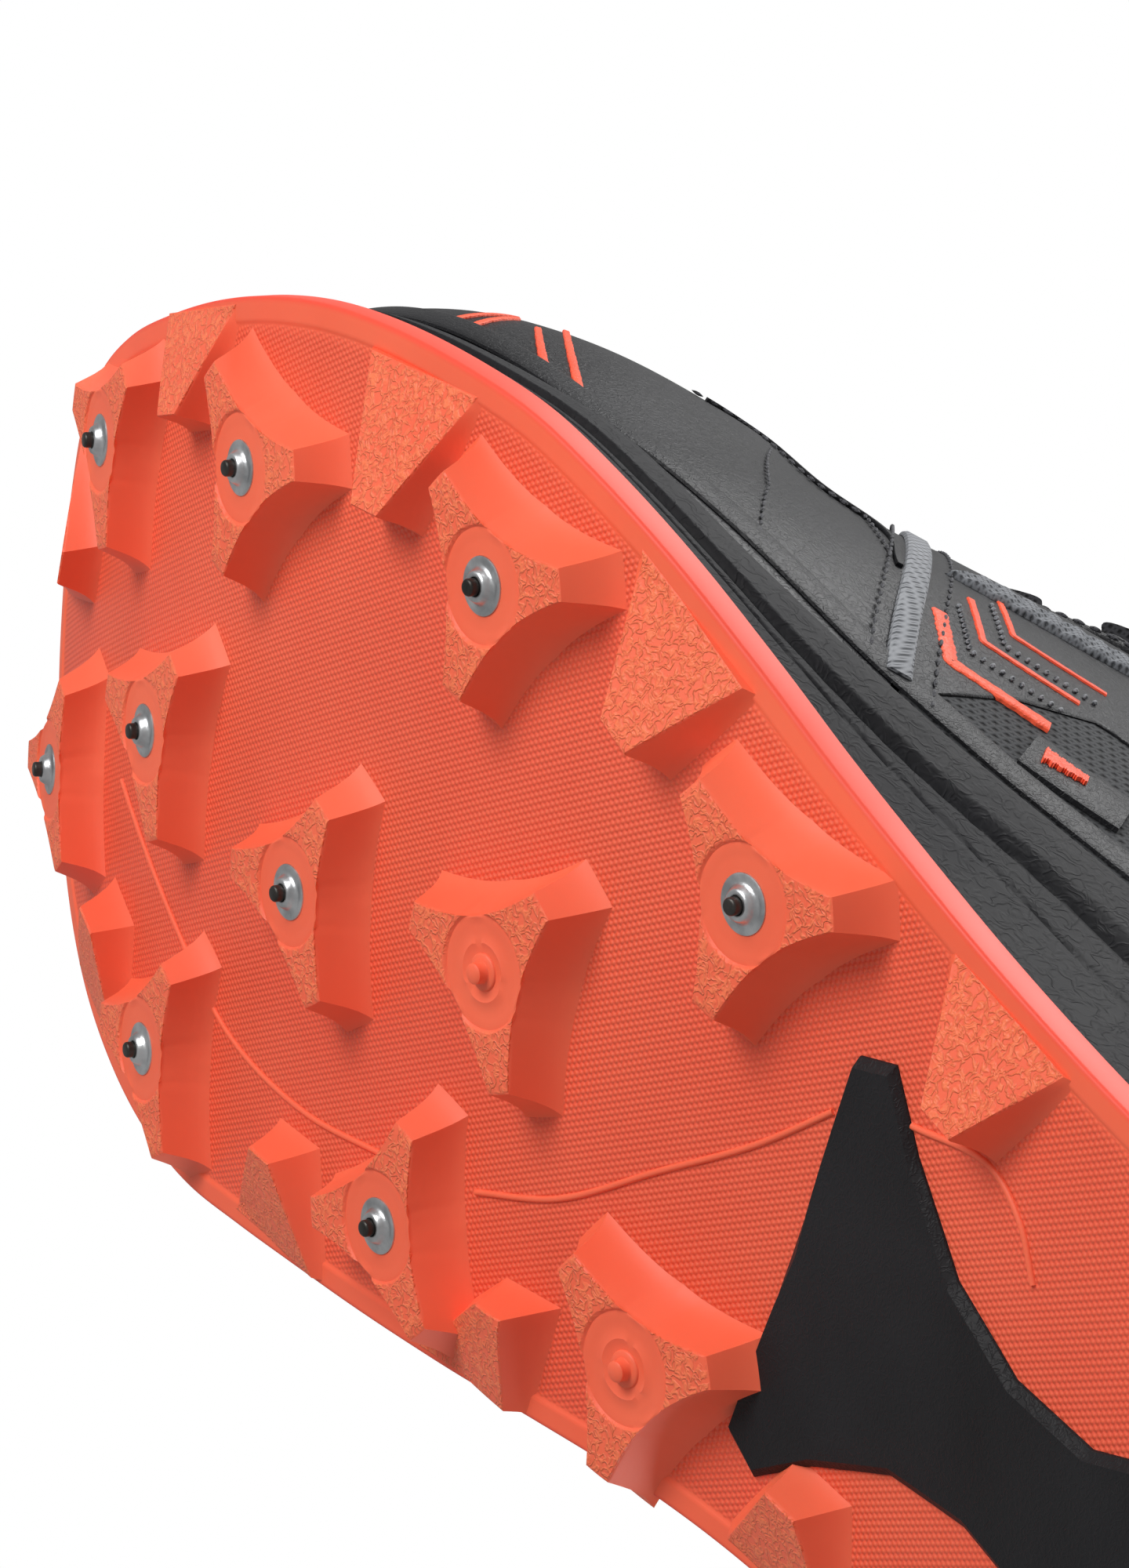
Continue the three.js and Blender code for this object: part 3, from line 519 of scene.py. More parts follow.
# name, dark level and blue, bright level and blue, warp and weft, depth, roughness and use of the map
for key, name, low, lowBlue, top, topBlue, *rest in (
        ("insole", "insoleFabric", 0.04, 0.045, 0.12, 0.13, 2600.0, 2600.0, 0.08, 0.9, False),
        ("lining", "collarLining", 0.008, 0.009, 0.03, 0.033, 4200.0, 4200.0, 0.1, 0.92),
        ("tongue", "tongueFabric", 0.008, 0.009, 0.045, 0.05, 4400.0, 3600.0, 0.1, 0.9),
        ("thread", "thread", 0.02, 0.022, 0.10, 0.11, 9000.0, 9000.0, 0.05, 0.75, False),
        ("lace", "laceCord", 0.008, 0.009, 0.05, 0.055, 5200.0, 5200.0, 0.15, 0.85, False)):
    finishes[key] = clothFinish(name, grey(low, lowBlue), grey(top, topBlue), *rest)
print("finishes made")

studio = {
    "cameraPlace": (0.23624, 0.25692, -0.26322), "cameraForward": (-0.47199, -0.63939, 0.60696),
    "cameraUp": (0.84660, -0.52080, 0.10972), "lens": 105.5, "sensor": 36, "nearest": 0.01,
    "aim": (0, 0, 0.05), "floorSize": 12.0, "floorGrey": 0.2, "floorGlow": 0.62,
    "worldSeen": 1.0, "worldLight": 0.36, "overhead": 1.3, "overheadSpread": math.radians(50),
}
# name, place and side in metres, watts
lights = (("keyLight", (0.55, -0.35, 0.6), 0.5, 5.5), ("underLight", (0.5, -0.25, -0.5), 0.35, 4.2),
          ("fillLight", (-0.6, 0.3, 0.45), 0.5, 3.2))


def addCamera():
    forward = unit(np.array(studio["cameraForward"]))
    right = unit(np.cross(forward, np.array(studio["cameraUp"])))
    camera = bpy.data.objects.new("camera", bpy.data.cameras.new("camera"))
    camera.data.lens = studio["lens"]
    camera.data.sensor_width = studio["sensor"]
    camera.data.clip_start = studio["nearest"]
    axes = np.stack([right, np.cross(right, forward), -forward], -1)
    turned = Matrix(axes.tolist()).to_4x4()
    camera.matrix_world = Matrix.Translation(studio["cameraPlace"]) @ turned
    bpy.context.collection.objects.link(camera)
    bpy.context.scene.camera = camera


def addLight(name, place, size, watts):  # a square area light aimed at the middle of the shoe
    lamp = bpy.data.lights.new(name, "AREA")
    lamp.size, lamp.energy = size, watts
    light = bpy.data.objects.new(name, lamp)
    light.location = place
    light.rotation_euler = (Vector(studio["aim"]) - Vector(place)).to_track_quat("-Z", "Y").to_euler()
    bpy.context.collection.objects.link(light)


def addFloor():  # a pale plane seen only from above, so that the sole is seen and lit from below
    r, level = studio["floorSize"] / 2, studio["floorGrey"]
    mesh = bpy.data.meshes.new("floor")
    mesh.from_pydata([(-r, -r, 0), (r, -r, 0), (r, r, 0), (-r, r, 0)], [], [(0, 1, 2, 3)])
    floor = bpy.data.objects.new("floor", mesh)
    bpy.context.collection.objects.link(floor)
    material = bpy.data.materials.new("paleFloor")
    material.use_nodes = True
    graph = Graph(material.node_tree)
    shader = graph.tree.nodes["Principled BSDF"]
    for key, value in (("Base Color", (level, level, level, 1)), ("Emission Color", (1, 1, 1, 1)),
                       ("Emission Strength", studio["floorGlow"]), ("Roughness", 0.9)):
        shader.inputs[key].default_value = value
    behind = graph.node("NewGeometry").outputs["Backfacing"]
    clear = graph.node("BsdfTransparent").outputs[0]
    mix = graph.node("MixShader", {0: behind, 1: shader.outputs[0], 2: clear})
    graph.feed(graph.tree.nodes["Material Output"].inputs["Surface"], mix.outputs[0])
    mesh.materials.append(material)
    floor.visible_shadow = False
    floor.visible_diffuse = False
    floor.visible_glossy = False


def addWorld():  # white where the camera sees it and dimmer as a light, with a broad sun from overhead
    world = bpy.context.scene.world or bpy.data.worlds.new("world")
    bpy.context.scene.world = world
    world.use_nodes = True
    graph = Graph(world.node_tree)
    sky = graph.tree.nodes["Background"]
    sky.inputs["Color"].default_value = (1, 1, 1, 1)
    seen = graph.node("LightPath").outputs["Is Camera Ray"]
    dim = studio["worldLight"]
    graph.feed(sky.inputs["Strength"], graph.math("MULTIPLY_ADD", seen, studio["worldSeen"] - dim, dim))
    overhead = bpy.data.lights.new("overhead", "SUN")
    overhead.energy, overhead.angle = studio["overhead"], studio["overheadSpread"]
    bpy.context.collection.objects.link(bpy.data.objects.new("overhead", overhead))


bpy.context.scene.view_settings.view_transform = "Standard"
addCamera()
addFloor()
addWorld()
for light in lights:
    addLight(*light)
print("studio ready")

outsole = {
    "columns": 1000, "rimBand": 3.0, "rimLip": 0.25, "edgeRound": 0.5, "armLength": 12.1, "armHalf": 1.6,
    "waist": 5.6, "footReach": 15.6, "footHalf": 3.0, "footWaist": 9.0, "padRadius": 5.75, "padDepth": 0.35,
    "padLip": 0.16, "rampTipHalf": 2.3, "rampGrow": 2.2, "rampFlush": 4.6, "rampTop": 0.2,
    "lineRadius": 0.35,
    "armBend": (6.0, 3.0), "footBend": (8.4, 5.0), "buried": 1.0, "smoothAngle": 32,
}
studdedStars = [
    (40, 6.2, 60), (30.9, 49.8, 62), (-6.8, -11.4, 12), (-29.5, 16.7, 1), (-9.8, -48.1, 22),
    (-42.5, -33.7, 12), (28.6, -38.4, 60), (11.4, -75.4, 25), (-33.2, -76.2, 5), (23.5, 136, 60),
    (-20.5, 136, 0), (24, 170, 50), (-20, 170, 10), (2, 184, -90)]
plainStars = [(4.9, 21.3, 25), (-20, 54, 55), (1.5, 153, 30)]
rampLugs = [
    (24.3, -57.5, 30.2, -69.6, 39.2, -54.4), (36.7, -14.6, 49.2, -25.1, 53.2, -7.2),
    (36.1, 28.4, 51.7, 20.6, 46.8, 38.2), (26.9, 79.8, 38.8, 71.5, 37.6, 88.8),
    (-39.8, -55, -53.5, -64.5, -55.8, -46.5), (-36.5, -5.5, -50.5, -13.5, -46.6, 4),
    (-10.5, -84, 3, -96.5, -22, -98.5), (-27, 35, -41.6, 22.5, -37.6, 38.5),
    (-19, 77, -31, 68.5, -30, 85.5), (26, 112, 37.8, 104, 38, 121),
    (-21, 112, -30.8, 104, -33, 121), (25.5, 153.5, 38.6, 145, 37.8, 162),
    (-22.5, 153.5, -35, 145, -34.6, 162)]
mouldLines = [
    [(-26, -62), (-31, -40), (-34, -23), (-32, -6), (-27, 9)],
    [(-21, 24), (-14, 35), (-3, 46), (7, 56), (16, 63.5)],
    [(21, 73), (24, 83.5), (22, 89), (18, 93)]]


def soleRings(rows, columns):
    # rows are (inset, share of the way to the middle line, height function): loops round the shoe
    place = np.linspace(-1, 1, columns, endpoint=False)
    rings = []
    for inset, share, height in rows:
        x, y, _, _ = outlineAt(place, inset)
        ox, oy, _, _ = outlineAt(-place, inset)
        x, y = x + ((x + ox) / 2 - x) * share, y + ((y + oy) / 2 - y) * share
        rings.append(np.stack([x, y, height(x, y)], -1))
    return np.array(rings)


def ringBody(rings):  # loops joined in order; the first and last lie on the middle line and close there
    vertices = rings.reshape(-1, 3)
    return vertices, outwardFaces(vertices, gridFaces(len(rings), rings.shape[1], closeColumns=True))


def addSheet():
    # the sheet's section: middle of the underside, out to a rim band and a round edge, back over the top
    low, top, band, r = sole["lug"], sole["lug"] + sole["sheet"], outsole["rimBand"], outsole["edgeRound"]

    def level(lift):
        return lambda x, y: treadHeight(x, y) + lift

    rows = [(band + 1, share, level(low)) for share in np.linspace(1, 0, 44)]
    rows += [(inset, 0, level(low - outsole["rimLip"] * float(smooth(band, band - 0.5, inset))))
             for inset in np.linspace(band + 0.2, r, 12)]
    underRows, turn = len(rows), np.linspace(0, math.pi / 2, 5)
    rows += [(r * (1 - math.sin(a)), 0, level(low - outsole["rimLip"] + r * (1 - math.cos(a))))
             for a in turn]
    rows += [(0, 0, level(top - 0.4)), (0.1, 0, level(top - 0.1)), (0.4, 0, level(top))]
    rows += [(2, share, level(top)) for share in np.linspace(0, 1, 14)]
    inset = np.repeat([row[0] for row in rows], outsole["columns"])
    under = np.repeat(np.arange(len(rows)) < underRows, outsole["columns"])
    # the edge mask carries painted shade on the rounded rim edge of the sheet
    masks = {"bead": smooth(band - 0.1, band + 0.4, inset) * under, "edge": smooth(0.7, 0.1, inset) * 0.8}
    piece = makePiece("outsole_sheet", ringBody(soleRings(rows, outsole["columns"])),
                      "rubber", masks=masks, welded=True)
    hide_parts("outsole")


def lugBody(top, foot, lift, centre, padRadius=None):
    # rings from the middle out to the top outline, then down a drafted wall to the foot inside the sheet
    away = top - centre
    reach = np.linalg.norm(away, axis=1, keepdims=True)
    inner = np.minimum(padRadius or 1e9, reach * (0.965 if padRadius else 0.5))
    shares = [inner / reach * t for t in np.linspace(0.02, 0.93, 10)]
    shares += [(inner + (reach - inner) * t) / reach for t in (0, 0.06, 0.12, 0.3, 0.5, 0.75, 0.94)]
    flat = [centre + away * share for share in shares]
    rings = [onTread(p, lift(*p.T)) for p in flat]
    edgeLift = lift(*(centre + away * 0.94).T)
    for t in (0.0, 0.05, 0.15, 0.3, 0.5, 0.7, 0.82, 0.9, 0.96, 1.0):
        p = top + (foot - top) * (0.68 * t + 0.32 * t**5)
        rings.append(onTread(p, edgeLift + 0.12 + (sole["lug"] + 0.35 - edgeLift - 0.12) * t))
    middle = foot + (centre - foot) * 0.98
    rings.append(onTread(middle, sole["lug"] + outsole["buried"]))
    vertices, faces = capped(np.array(rings))
    return vertices, faces, len(flat)


def bezier(a, b, c, count):  # a (1-t)^2 + 2 b t (1-t) + c t^2, without its last point
    t = np.linspace(0, 1, count, endpoint=False)[:, None]
    return np.array(a) * (1 - t) ** 2 + 2 * np.array(b) * t * (1 - t) + np.array(c) * t**2


def starOutline(reach, halfWidth, bend, waist):
    # one arm: in from a waist point to the arm's corner, across its end and out again; three turned copies
    side = (waist * math.cos(math.pi / 3), waist * math.sin(math.pi / 3))
    arm = np.vstack([bezier((side[0], -side[1]), (bend[0], -bend[1]), (reach, -halfWidth), 22),
                     bezier((reach, -halfWidth), (reach + 0.1, 0), (reach, halfWidth), 8),
                     bezier((reach, halfWidth), bend, side, 22)])
    turns = np.array([0, 2, 4]) * math.pi / 3
    cs, sn = np.cos(turns)[:, None], np.sin(turns)[:, None]
    return np.stack([arm[:, 0] * cs - arm[:, 1] * sn, arm[:, 0] * sn + arm[:, 1] * cs], -1).reshape(-1, 2)


def starLug(x, y, degrees, plain=False):
    # three arms at the seat's angle round a sunk pad with a raised ring at its edge, two rings on a blank
    turn = math.radians(degrees)
    rotate = np.array([[math.cos(turn), math.sin(turn)], [-math.sin(turn), math.cos(turn)]])
    centre = np.array([x, y], float)
    top, foot = (starOutline(*(outsole[key] for key in keys)) @ rotate + centre
                 for keys in (("armLength", "armHalf", "armBend", "waist"),
                              ("footReach", "footHalf", "footBend", "footWaist")))
    depth, pad = outsole["padDepth"], outsole["padRadius"]

    def lift(px, py):
        r = np.hypot(px - x, py - y)
        ring = bump(r, pad - 0.25, 0.4) * outsole["padLip"]
        blank = bump(r, 3.0, 0.35) * 0.22 if plain else 0
        return -depth * smooth(pad - 0.05, pad + 0.3, r) - ring - blank

    vertices, faces, flatRings = lugBody(top, foot, lift, centre, pad)
    r = np.hypot(vertices[:, 0] - x, vertices[:, 1] - y)
    onTop = np.arange(len(vertices)) < flatRings * len(top)
    return vertices, faces, smooth(pad + 0.1, pad + 0.5, r) * onTop


def rampLug(tipX, tipY, ax, ay, bx, by):
    # a wedge: its face climbs from the rim corners a and b to a narrow tip
    tip, a, b = np.array([tipX, tipY]), np.array([ax, ay]), np.array([bx, by])
    inward, across = tip - (a + b) / 2, (b - a) / np.linalg.norm(b - a)
    length = np.linalg.norm(inward)
    inward = inward / length
    tipHalf, grow = outsole["rampTipHalf"], outsole["rampGrow"]

    def outline(g):
        corners = [a - across * g, b + across * g, tip + across * (tipHalf + g) + inward * g,
                   tip - across * (tipHalf + g) + inward * g]
        share = np.linspace(0, 1, 24, endpoint=False)[:, None]
        return np.vstack([corners[k] + (corners[(k + 1) % 4] - corners[k]) * share for k in range(4)])

    def lift(px, py):
        v = ((px - (ax + bx) / 2) * inward[0] + (py - (ay + by) / 2) * inward[1]) / length
        climb = outsole["rampTop"] - 0.3 - outsole["rampFlush"]
        return outsole["rampFlush"] + climb * np.clip(v, 0, 1) ** 0.9

    top, centre = outline(0), (a + b + 2 * tip) / 4
    vertices, faces, flatRings = lugBody(top, outline(grow), lift, centre)
    return vertices, faces, (np.arange(len(vertices)) < flatRings * len(top)) * 1.0


def ringsRound(points, ahead, side, radius, around):  # a circle at each point, square to the way ahead
    up, turn = np.cross(side, ahead), circle(around)[None, :, None]
    return points[:, None] + radius * (np.cos(turn) * side[:, None] + np.sin(turn) * up[:, None])


def tubeAlong(points, radius, around=10):
    # a round tube along rows of points: circles square to the path, closed at both ends
    ahead = unit(np.gradient(points, axis=0))
    side = unit(np.cross(ahead, [0, 0, 1.0]) + 1e-9)
    return capped(ringsRound(points, ahead, side, radius, around))


def addLugs():
    stars = [starLug(*star) for star in studdedStars] + [starLug(*star, True) for star in plainStars]
    ramps = [rampLug(*lug) for lug in rampLugs]
    for name, lugs in (("outsole_star_lugs", stars), ("outsole_ramp_lugs", ramps)):
        makePiece(name, gather(lugs), "rubber", smoothAngle=outsole["smoothAngle"],
                  masks={"stipple": np.concatenate([lug[2] for lug in lugs])})
    paths = [denseCurve(np.array(line, float), 160) for line in mouldLines]
    lines = [tubeAlong(onTread(path, sole["lug"]), outsole["lineRadius"]) for path in paths]
    makePiece("outsole_mould_lines", gather(lines), "rubber")


addSheet()
addLugs()
print("outsole made")


stud = {
    "sides": 72, "proud": 0.2, "flange": 3.0, "thickness": 0.55, "collarFoot": 1.95, "collar": 1.45,
    "collarHeight": 0.9, "pin": 0.88, "pinReach": 1.8, "nub": 1.1, "nubHeight": 1.3,
    "pinPlay": 0.08, "shankProud": 1.0, "shankChamfer": 1.1, "shankSpine": (69, 115),
}
shankOutline = [
    (23, 64.5), (25, 69), (19, 75), (12, 84.5), (9, 95), (10, 106), (15, 115), (15, 119), (-12, 119),
    (-12, 115), (-8.5, 106), (-8, 95), (-10.5, 84.5), (-17, 75), (-23, 69), (-21, 64.5)]


def seatAt(x, y):  # the tread face's point and three axes, the last one out of the face
    step = 0.5
    slopeX = (treadHeight(x + step, y) - treadHeight(x - step, y)) / (2 * step)
    slopeY = (treadHeight(x, y + step) - treadHeight(x, y - step)) / (2 * step)
    out = unit(np.array([float(slopeX), float(slopeY), -1.0]))
    side = unit(np.cross(out, [0, 1.0, 0]))
    face = np.array([x, y, float(treadHeight(x, y))]) + out * stud["proud"]
    return face, np.stack([side, np.cross(out, side), out])


def turnedPart(profile, x, y):  # rows of radius and height turned about the seat's outward axis
    profile = np.array(profile, float)
    face, axes = seatAt(x, y)
    turn = circle(stud["sides"])[None, :]
    r, h = np.maximum(profile[:, :1], 0.01), profile[:, 1:]
    local = np.stack([r * np.cos(turn), r * np.sin(turn), h + 0 * turn], -1)
    return capped(face + local @ axes)


def addStuds():
    r, c, d = stud["flange"], stud["collar"], stud["collarHeight"]
    hole = stud["pin"] + stud["pinPlay"]
    body = [(0, -1.6), (r - 0.15, -1.6), (r - 0.03, -stud["thickness"]), (r, -0.25), (r - 0.06, -0.08),
            (r - 0.25, 0.0), (r - 0.6, -0.03), (stud["collarFoot"] + 0.25, -0.04),
            (stud["collarFoot"], 0.06),
            (stud["collarFoot"] - 0.14, 0.32), (c + 0.14, d - 0.22), (c + 0.02, d - 0.06), (c - 0.12, d),
            (hole + 0.12, d), (hole, d - 0.1), (hole, -1.0), (0, -1.0)]
    p, reach = stud["pin"], stud["pinReach"]
    pin = [(0, -1.2), (p, -1.2), (p, reach - 0.28), (p - 0.04, reach - 0.16), (p - 0.14, reach - 0.05),
           (p - 0.3, reach), (0, reach)]
    for number, (x, y, _) in enumerate(studdedStars, 1):
        name = f"stud_body_{number:02d}"
        piece = makePiece(name + "_turned", turnedPart(body, x, y), "steel")
        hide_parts(name)
        piece = makePiece(f"stud_pin_{number:02d}_turned", turnedPart(pin, x, y), "carbide")
        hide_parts(f"stud_pin_{number:02d}")
    n, h = stud["nub"], stud["nubHeight"]
    nub = [(0, -1), (2.0, -1), (1.9, -0.1), (1.75, 0.05), (n + 0.1, 0.1), (n, 0.25), (n - 0.05, h - 0.2),
           (n - 0.3, h), (0, h)]
    nubs = gather([turnedPart(nub, x, y) for x, y, _ in plainStars])
    makePiece("outsole_blank_nubs", nubs, "rubber")


def addShank():
    # rings from the middle of the underside out to a chamfered edge and up into the rubber
    corners = np.array(shankOutline, float)
    share = np.linspace(0, 1, 12, endpoint=False)[None, :, None]
    edge = (corners[:, None] + (np.roll(corners, -1, axis=0) - corners)[:, None] * share).reshape(-1, 2)
    spine = np.stack([edge[:, 0] * 0 + 1.0, np.clip(edge[:, 1], *stud["shankSpine"])], -1)
    low, chamfer = sole["lug"] - stud["shankProud"], stud["shankChamfer"]
    reach = np.linalg.norm(edge - spine, axis=1, keepdims=True)
    rows = [(spine + (edge - spine) * (1 - chamfer / reach) * t, low) for t in np.linspace(0, 1, 14)]
    rows += [(edge - (edge - spine) / reach * 0.1, low + 0.75), (edge, low + 0.95),
             (edge, sole["lug"] + 1.0)]
    rows += [(spine, sole["lug"] + 1.0)]
    rings = np.array([onTread(p, lift) for p, lift in rows])
    piece = makePiece("midfoot_shank_plate", ringBody(rings), "shank", smoothAngle=25,
                      welded=True)
    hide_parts("midfoot_shank")


addStuds()
addShank()
print("studs and shank made")


cup = {
    "columns": 900, "foot": 0.5, "top": 2.0, "flare": 2.4, "round": 0.9, "ridge": 0.55, "groove": 0.45,
    "boardThickness": 1.8, "insoleThickness": 4.0, "boardInset": 8.9, "gap": 0.05, "bedColumns": 700,
}


def addMidsole():
    # one loop of rows: under the foam, up the outer wall with its ridge band, over the rim and down the cup
    place = np.linspace(-1, 1, cup["columns"], endpoint=False)
    base, rim, wall, r = cup["foot"], cup["top"], sole["cupInset"] - 0.3, cup["round"]

    def row(inset, share, height):
        return soleRings([(inset, share, height)], cup["columns"])[0]

    rows = [row(4, share, lambda x, y: sheetTop(x, y) + cup["gap"]) for share in np.linspace(1, 0, 6)]
    for v in np.linspace(0, 1, 46):
        # ridge band from the lower line to the rim; thin grooves below it
        x, y, _, _ = outlineAt(place, base)
        tall = rimTop(x, y) - sheetTop(x, y)
        line = 0.45 + 0.2 * smooth(30, 75, y)
        swell = cup["ridge"] * smooth(line - 0.03, line + 0.07, v) * (1 - 0.35 * smooth(0.85, 1.0, v))
        cut = cup["groove"] * (bump(v, line - 0.05, 0.04) + 0.5 * bump(v, line * 0.55, 0.03))
        inset = base + 0.25 + (rim - base) * v - swell + cut
        fx, fy, _, _ = outlineAt(place, inset)
        rows.append(np.stack([fx, fy, sheetTop(fx, fy) + cup["gap"] + (tall - r) * v], -1))
    for a in np.linspace(0.15, 1, 6) * math.pi / 2:
        fx, fy, _, _ = outlineAt(place, rim + r * (1 - math.cos(a)) - 0.1)
        rows.append(np.stack([fx, fy, rimTop(fx, fy) - r + r * math.sin(a)], -1))
    for v in np.linspace(0, 1, 12):
        fx, fy, _, _ = outlineAt(place, wall - cup["flare"] * (1 - v))
        top, floor = rimTop(fx, fy), footbed(fx, fy)
        rows.append(np.stack([fx, fy, top + (floor - top) * v - 0.05 * (1 - v)], -1))
    rows += [row(wall, share, footbed) for share in np.linspace(0.02, 1, 8)]
    piece = makePiece("midsole_cup", ringBody(np.array(rows)), "foam", welded=True)
    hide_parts("midsole")


def addBed(name, node, finishName, inset, low, high, roundness):
    # a slab inside the cup with rounded upper edge, closed on its middle line
    rows = [(inset, share, low) for share in np.linspace(1, 0, 12)]
    for a in np.linspace(0, 1, 6) * math.pi / 2:
        rows.append((inset + roundness * (1 - math.cos(a)), 0,
                     lambda x, y, a=a: high(x, y) - roundness * (1 - math.sin(a))))
    rows += [(inset + roundness, share, high) for share in np.linspace(0.03, 1, 30)]
    body = ringBody(soleRings(rows, cup["bedColumns"]))
    piece = makePiece(name, body, finishName, welded=True)
    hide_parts(node)
    return piece


def boardTop(x, y):  # footbed + gap + the board's thickness
    return footbed(x, y) + sole["bedGap"] + cup["boardThickness"]


addMidsole()
addBed("lasting_board_fibre", "lasting_board", "board", cup["boardInset"],
       lambda x, y: footbed(x, y) + sole["bedGap"], boardTop, 0.3)
insolePiece = addBed("insole_cushion", "insole", "insole", cup["boardInset"] + 0.4,
                     lambda x, y: boardTop(x, y) + sole["bedGap"],
                     lambda x, y: boardTop(x, y) + sole["bedGap"] + cup["insoleThickness"], 1.2)
print("midsole and beds made")


upper = {
    "sideLength": 0.33, "sideHeight": 0.1, "wall": 2.0, "quarterEnd": 0.78, "seamGap": 0.004,
    "seamFoot": 0.51, "seamLean": 0.21, "crease": 0.13, "padding": 4.6, "paddingOuter": -2.3,
    "paddingRows": 200, "paddingColumns": 40, "filmFoot": 0.2, "filmTall": 0.66,
    "strapFrom": 0.424, "strapTo": 0.527, "strapFoot": 0.515, "strapClimb": 2.8, "strapTall": 0.085,
    "tongueGap": 2.0, "tongueThickness": 4.5, "bindingRadius": 2.4, "laceRows": 6, "laceWidth": 6.0,
    "cordRadius": 1.15, "laceThickness": 1.4, "laceLift": 3.0, "laceCrown": 4.0, "firstRow": 0.35,
    "rowStep": 0.046,
}


def seamPlace(height):  # the seam between vamp and quarter leans forward in a straight line as it climbs
    return upper["seamFoot"] - upper["seamLean"] * height


def softEdge(u, v, rows, columns):  # 0 at a patch's edges and 1 a few steps in, for rolled edges
    along = np.minimum(u, 1 - u) * rows
    across = np.minimum(v, 1 - v) * columns
    return np.sqrt(np.clip(np.minimum(along, across) / 3, 0, 1))


def creases(place, height):  # three crossing sine waves of uneven spacing, faded at top and bottom
    wave = np.sin(place * 31 + height * 9) * np.sin(height * 13 - place * 17)
    wave = wave + 0.3 * np.sin(place * 67 + height * 23)
    return wave * smooth(0.12, 0.35, height) * smooth(1.0, 0.8, height)


def addPanel(name, node, route, inner, outer, rows, columns, finishName, relief=None,
             rolled=False):
    # route turns u and v into place and height; inner and outer are distances off the skin
    u, v = grid(rows, columns)
    place, height = route(u, v)
    raised = outer + (relief(place, height) if relief else 0)
    if rolled:
        raised = inner + 0.12 + (raised - inner - 0.12) * softEdge(u, v, rows, columns)
    body = shell(*(offSkin(place, height, amount + 0 * place) for amount in (raised, inner)))
    flat = np.stack([place * upper["sideLength"], height * upper["sideHeight"]], -1).reshape(-1, 2)
    piece = makePiece(name, body, finishName, uv=np.vstack([flat, flat]), smoothAngle=50)
    if node:
        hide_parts(node)
    return piece


def between(placeFrom, placeTo, heightFrom, heightTo):  # a patch with straight sides in place and height
    return lambda u, v: (placeFrom + (placeTo - placeFrom) * u, heightFrom + (heightTo - heightFrom) * v)


def roundedPatch(placeFrom, placeTo, heightFrom, heightTo, ends):
    # the patch's ends draw in towards the middle height by a quarter circle
    def route(u, v):
        place = placeFrom + (placeTo - placeFrom) * u
        end = np.clip(np.abs(2 * u - 1) - (1 - ends), 0, ends) / ends
        spread = np.sqrt(np.maximum(1 - end**2, 0.04))
        middle = (heightFrom + heightTo) / 2
        return place, middle + (v - 0.5) * (heightTo - heightFrom) * spread
    return route


def mirrored(route, sign):  # sign -1 puts the route on the medial side, with u run backwards
    def turned(u, v):
        place, height = route(u if sign > 0 else 1 - u, v)
        return place * sign, height
    return turned


def filmEdge(height):  # where the smooth film over the quarter gives way to open mesh
    return np.interp(height, [0.2, 0.33, 0.43, 0.47, 0.6, 0.86], [0.484, 0.489, 0.501, 0.55, 0.6, 0.625])


def strapMiddle(place):  # the strap's middle height climbs in a straight line from its foot
    return upper["strapFoot"] + upper["strapClimb"] * (place - upper["strapFrom"])


def strap(u, v):
    place = upper["strapFrom"] + (upper["strapTo"] - upper["strapFrom"]) * u
    return place, strapMiddle(place) + upper["strapTall"] * (v - 0.5)


def ribs(place, height):  # a braid: the larger of two slanted sets of waves across each other
    across = (height - strapMiddle(np.abs(place))) / upper["strapTall"]
    along = np.abs(place) * 900
    return 0.16 * np.maximum(np.sin(along + across * 9), np.sin(along - across * 9))


def addUpper():
    wall, gap, end = -upper["wall"], upper["seamGap"], upper["quarterEnd"]
    addPanel("vamp_panel", "vamp", lambda u, v: ((2 * u - 1) * seamPlace(v), v), wall, 0.0, 330, 80,
             "coating", lambda place, height: upper["crease"] * creases(place, height))
    for side, sign in (("lateral", 1), ("medial", -1)):
        def quarter(u, v):
            start = seamPlace(v) + gap
            return start + (end - start) * u, v

        def film(u, v):
            height = upper["filmFoot"] + upper["filmTall"] * v
            start = seamPlace(height) + gap
            return start + (filmEdge(height) - start) * u, height

        addPanel(side + "_quarter_mesh", side + "_quarter", mirrored(quarter, sign), wall, 0.0, 150, 80,
                 "mesh")
        addPanel(side + "_quarter_film", None, mirrored(film, sign), 0.02, 0.3, 80, 60,
                 "eyestay", rolled=True)
        stay = roundedPatch(0.325, 0.62, 0.86, 0.99, 0.08)
        addPanel(side + "_eyestay_overlay", side + "_eyestay", mirrored(stay, sign), 0.25, 1.5, 160, 24,
                 "eyestay", rolled=True)

        addPanel(side + "_webbing_strap", side + "_webbing", mirrored(strap, sign), 0.3, 1.1, 220, 20,
                 "tape", ribs, rolled=True)
    addPanel("heel_panel_mesh", "heel_panel", between(end + gap, 2 - end - gap, 0, 1), wall, 0.0, 150, 60,
             "mesh")
    addPanel("heel_counter_shell", "heel_counter", roundedPatch(0.83, 1.17, 0.3, 0.62, 0.3), 0.2, 1.8,
             160, 40, "counter", rolled=True)
    addPanel("heel_pull_tab_loop", "heel_pull_tab", between(0.985, 1.015, 0.68, 0.98), 0.3, 2.0, 24, 60,
             "tape", lambda place, height: 0.1 * np.sin(height * 260), rolled=True)
    padding = addPanel("collar_padding_foam", "collar_padding", between(0.64, 1.36, 0.7, 1),
                       upper["paddingOuter"] - upper["padding"], upper["paddingOuter"],
                       upper["paddingRows"], upper["paddingColumns"], "lining")
    crownPadding(padding)


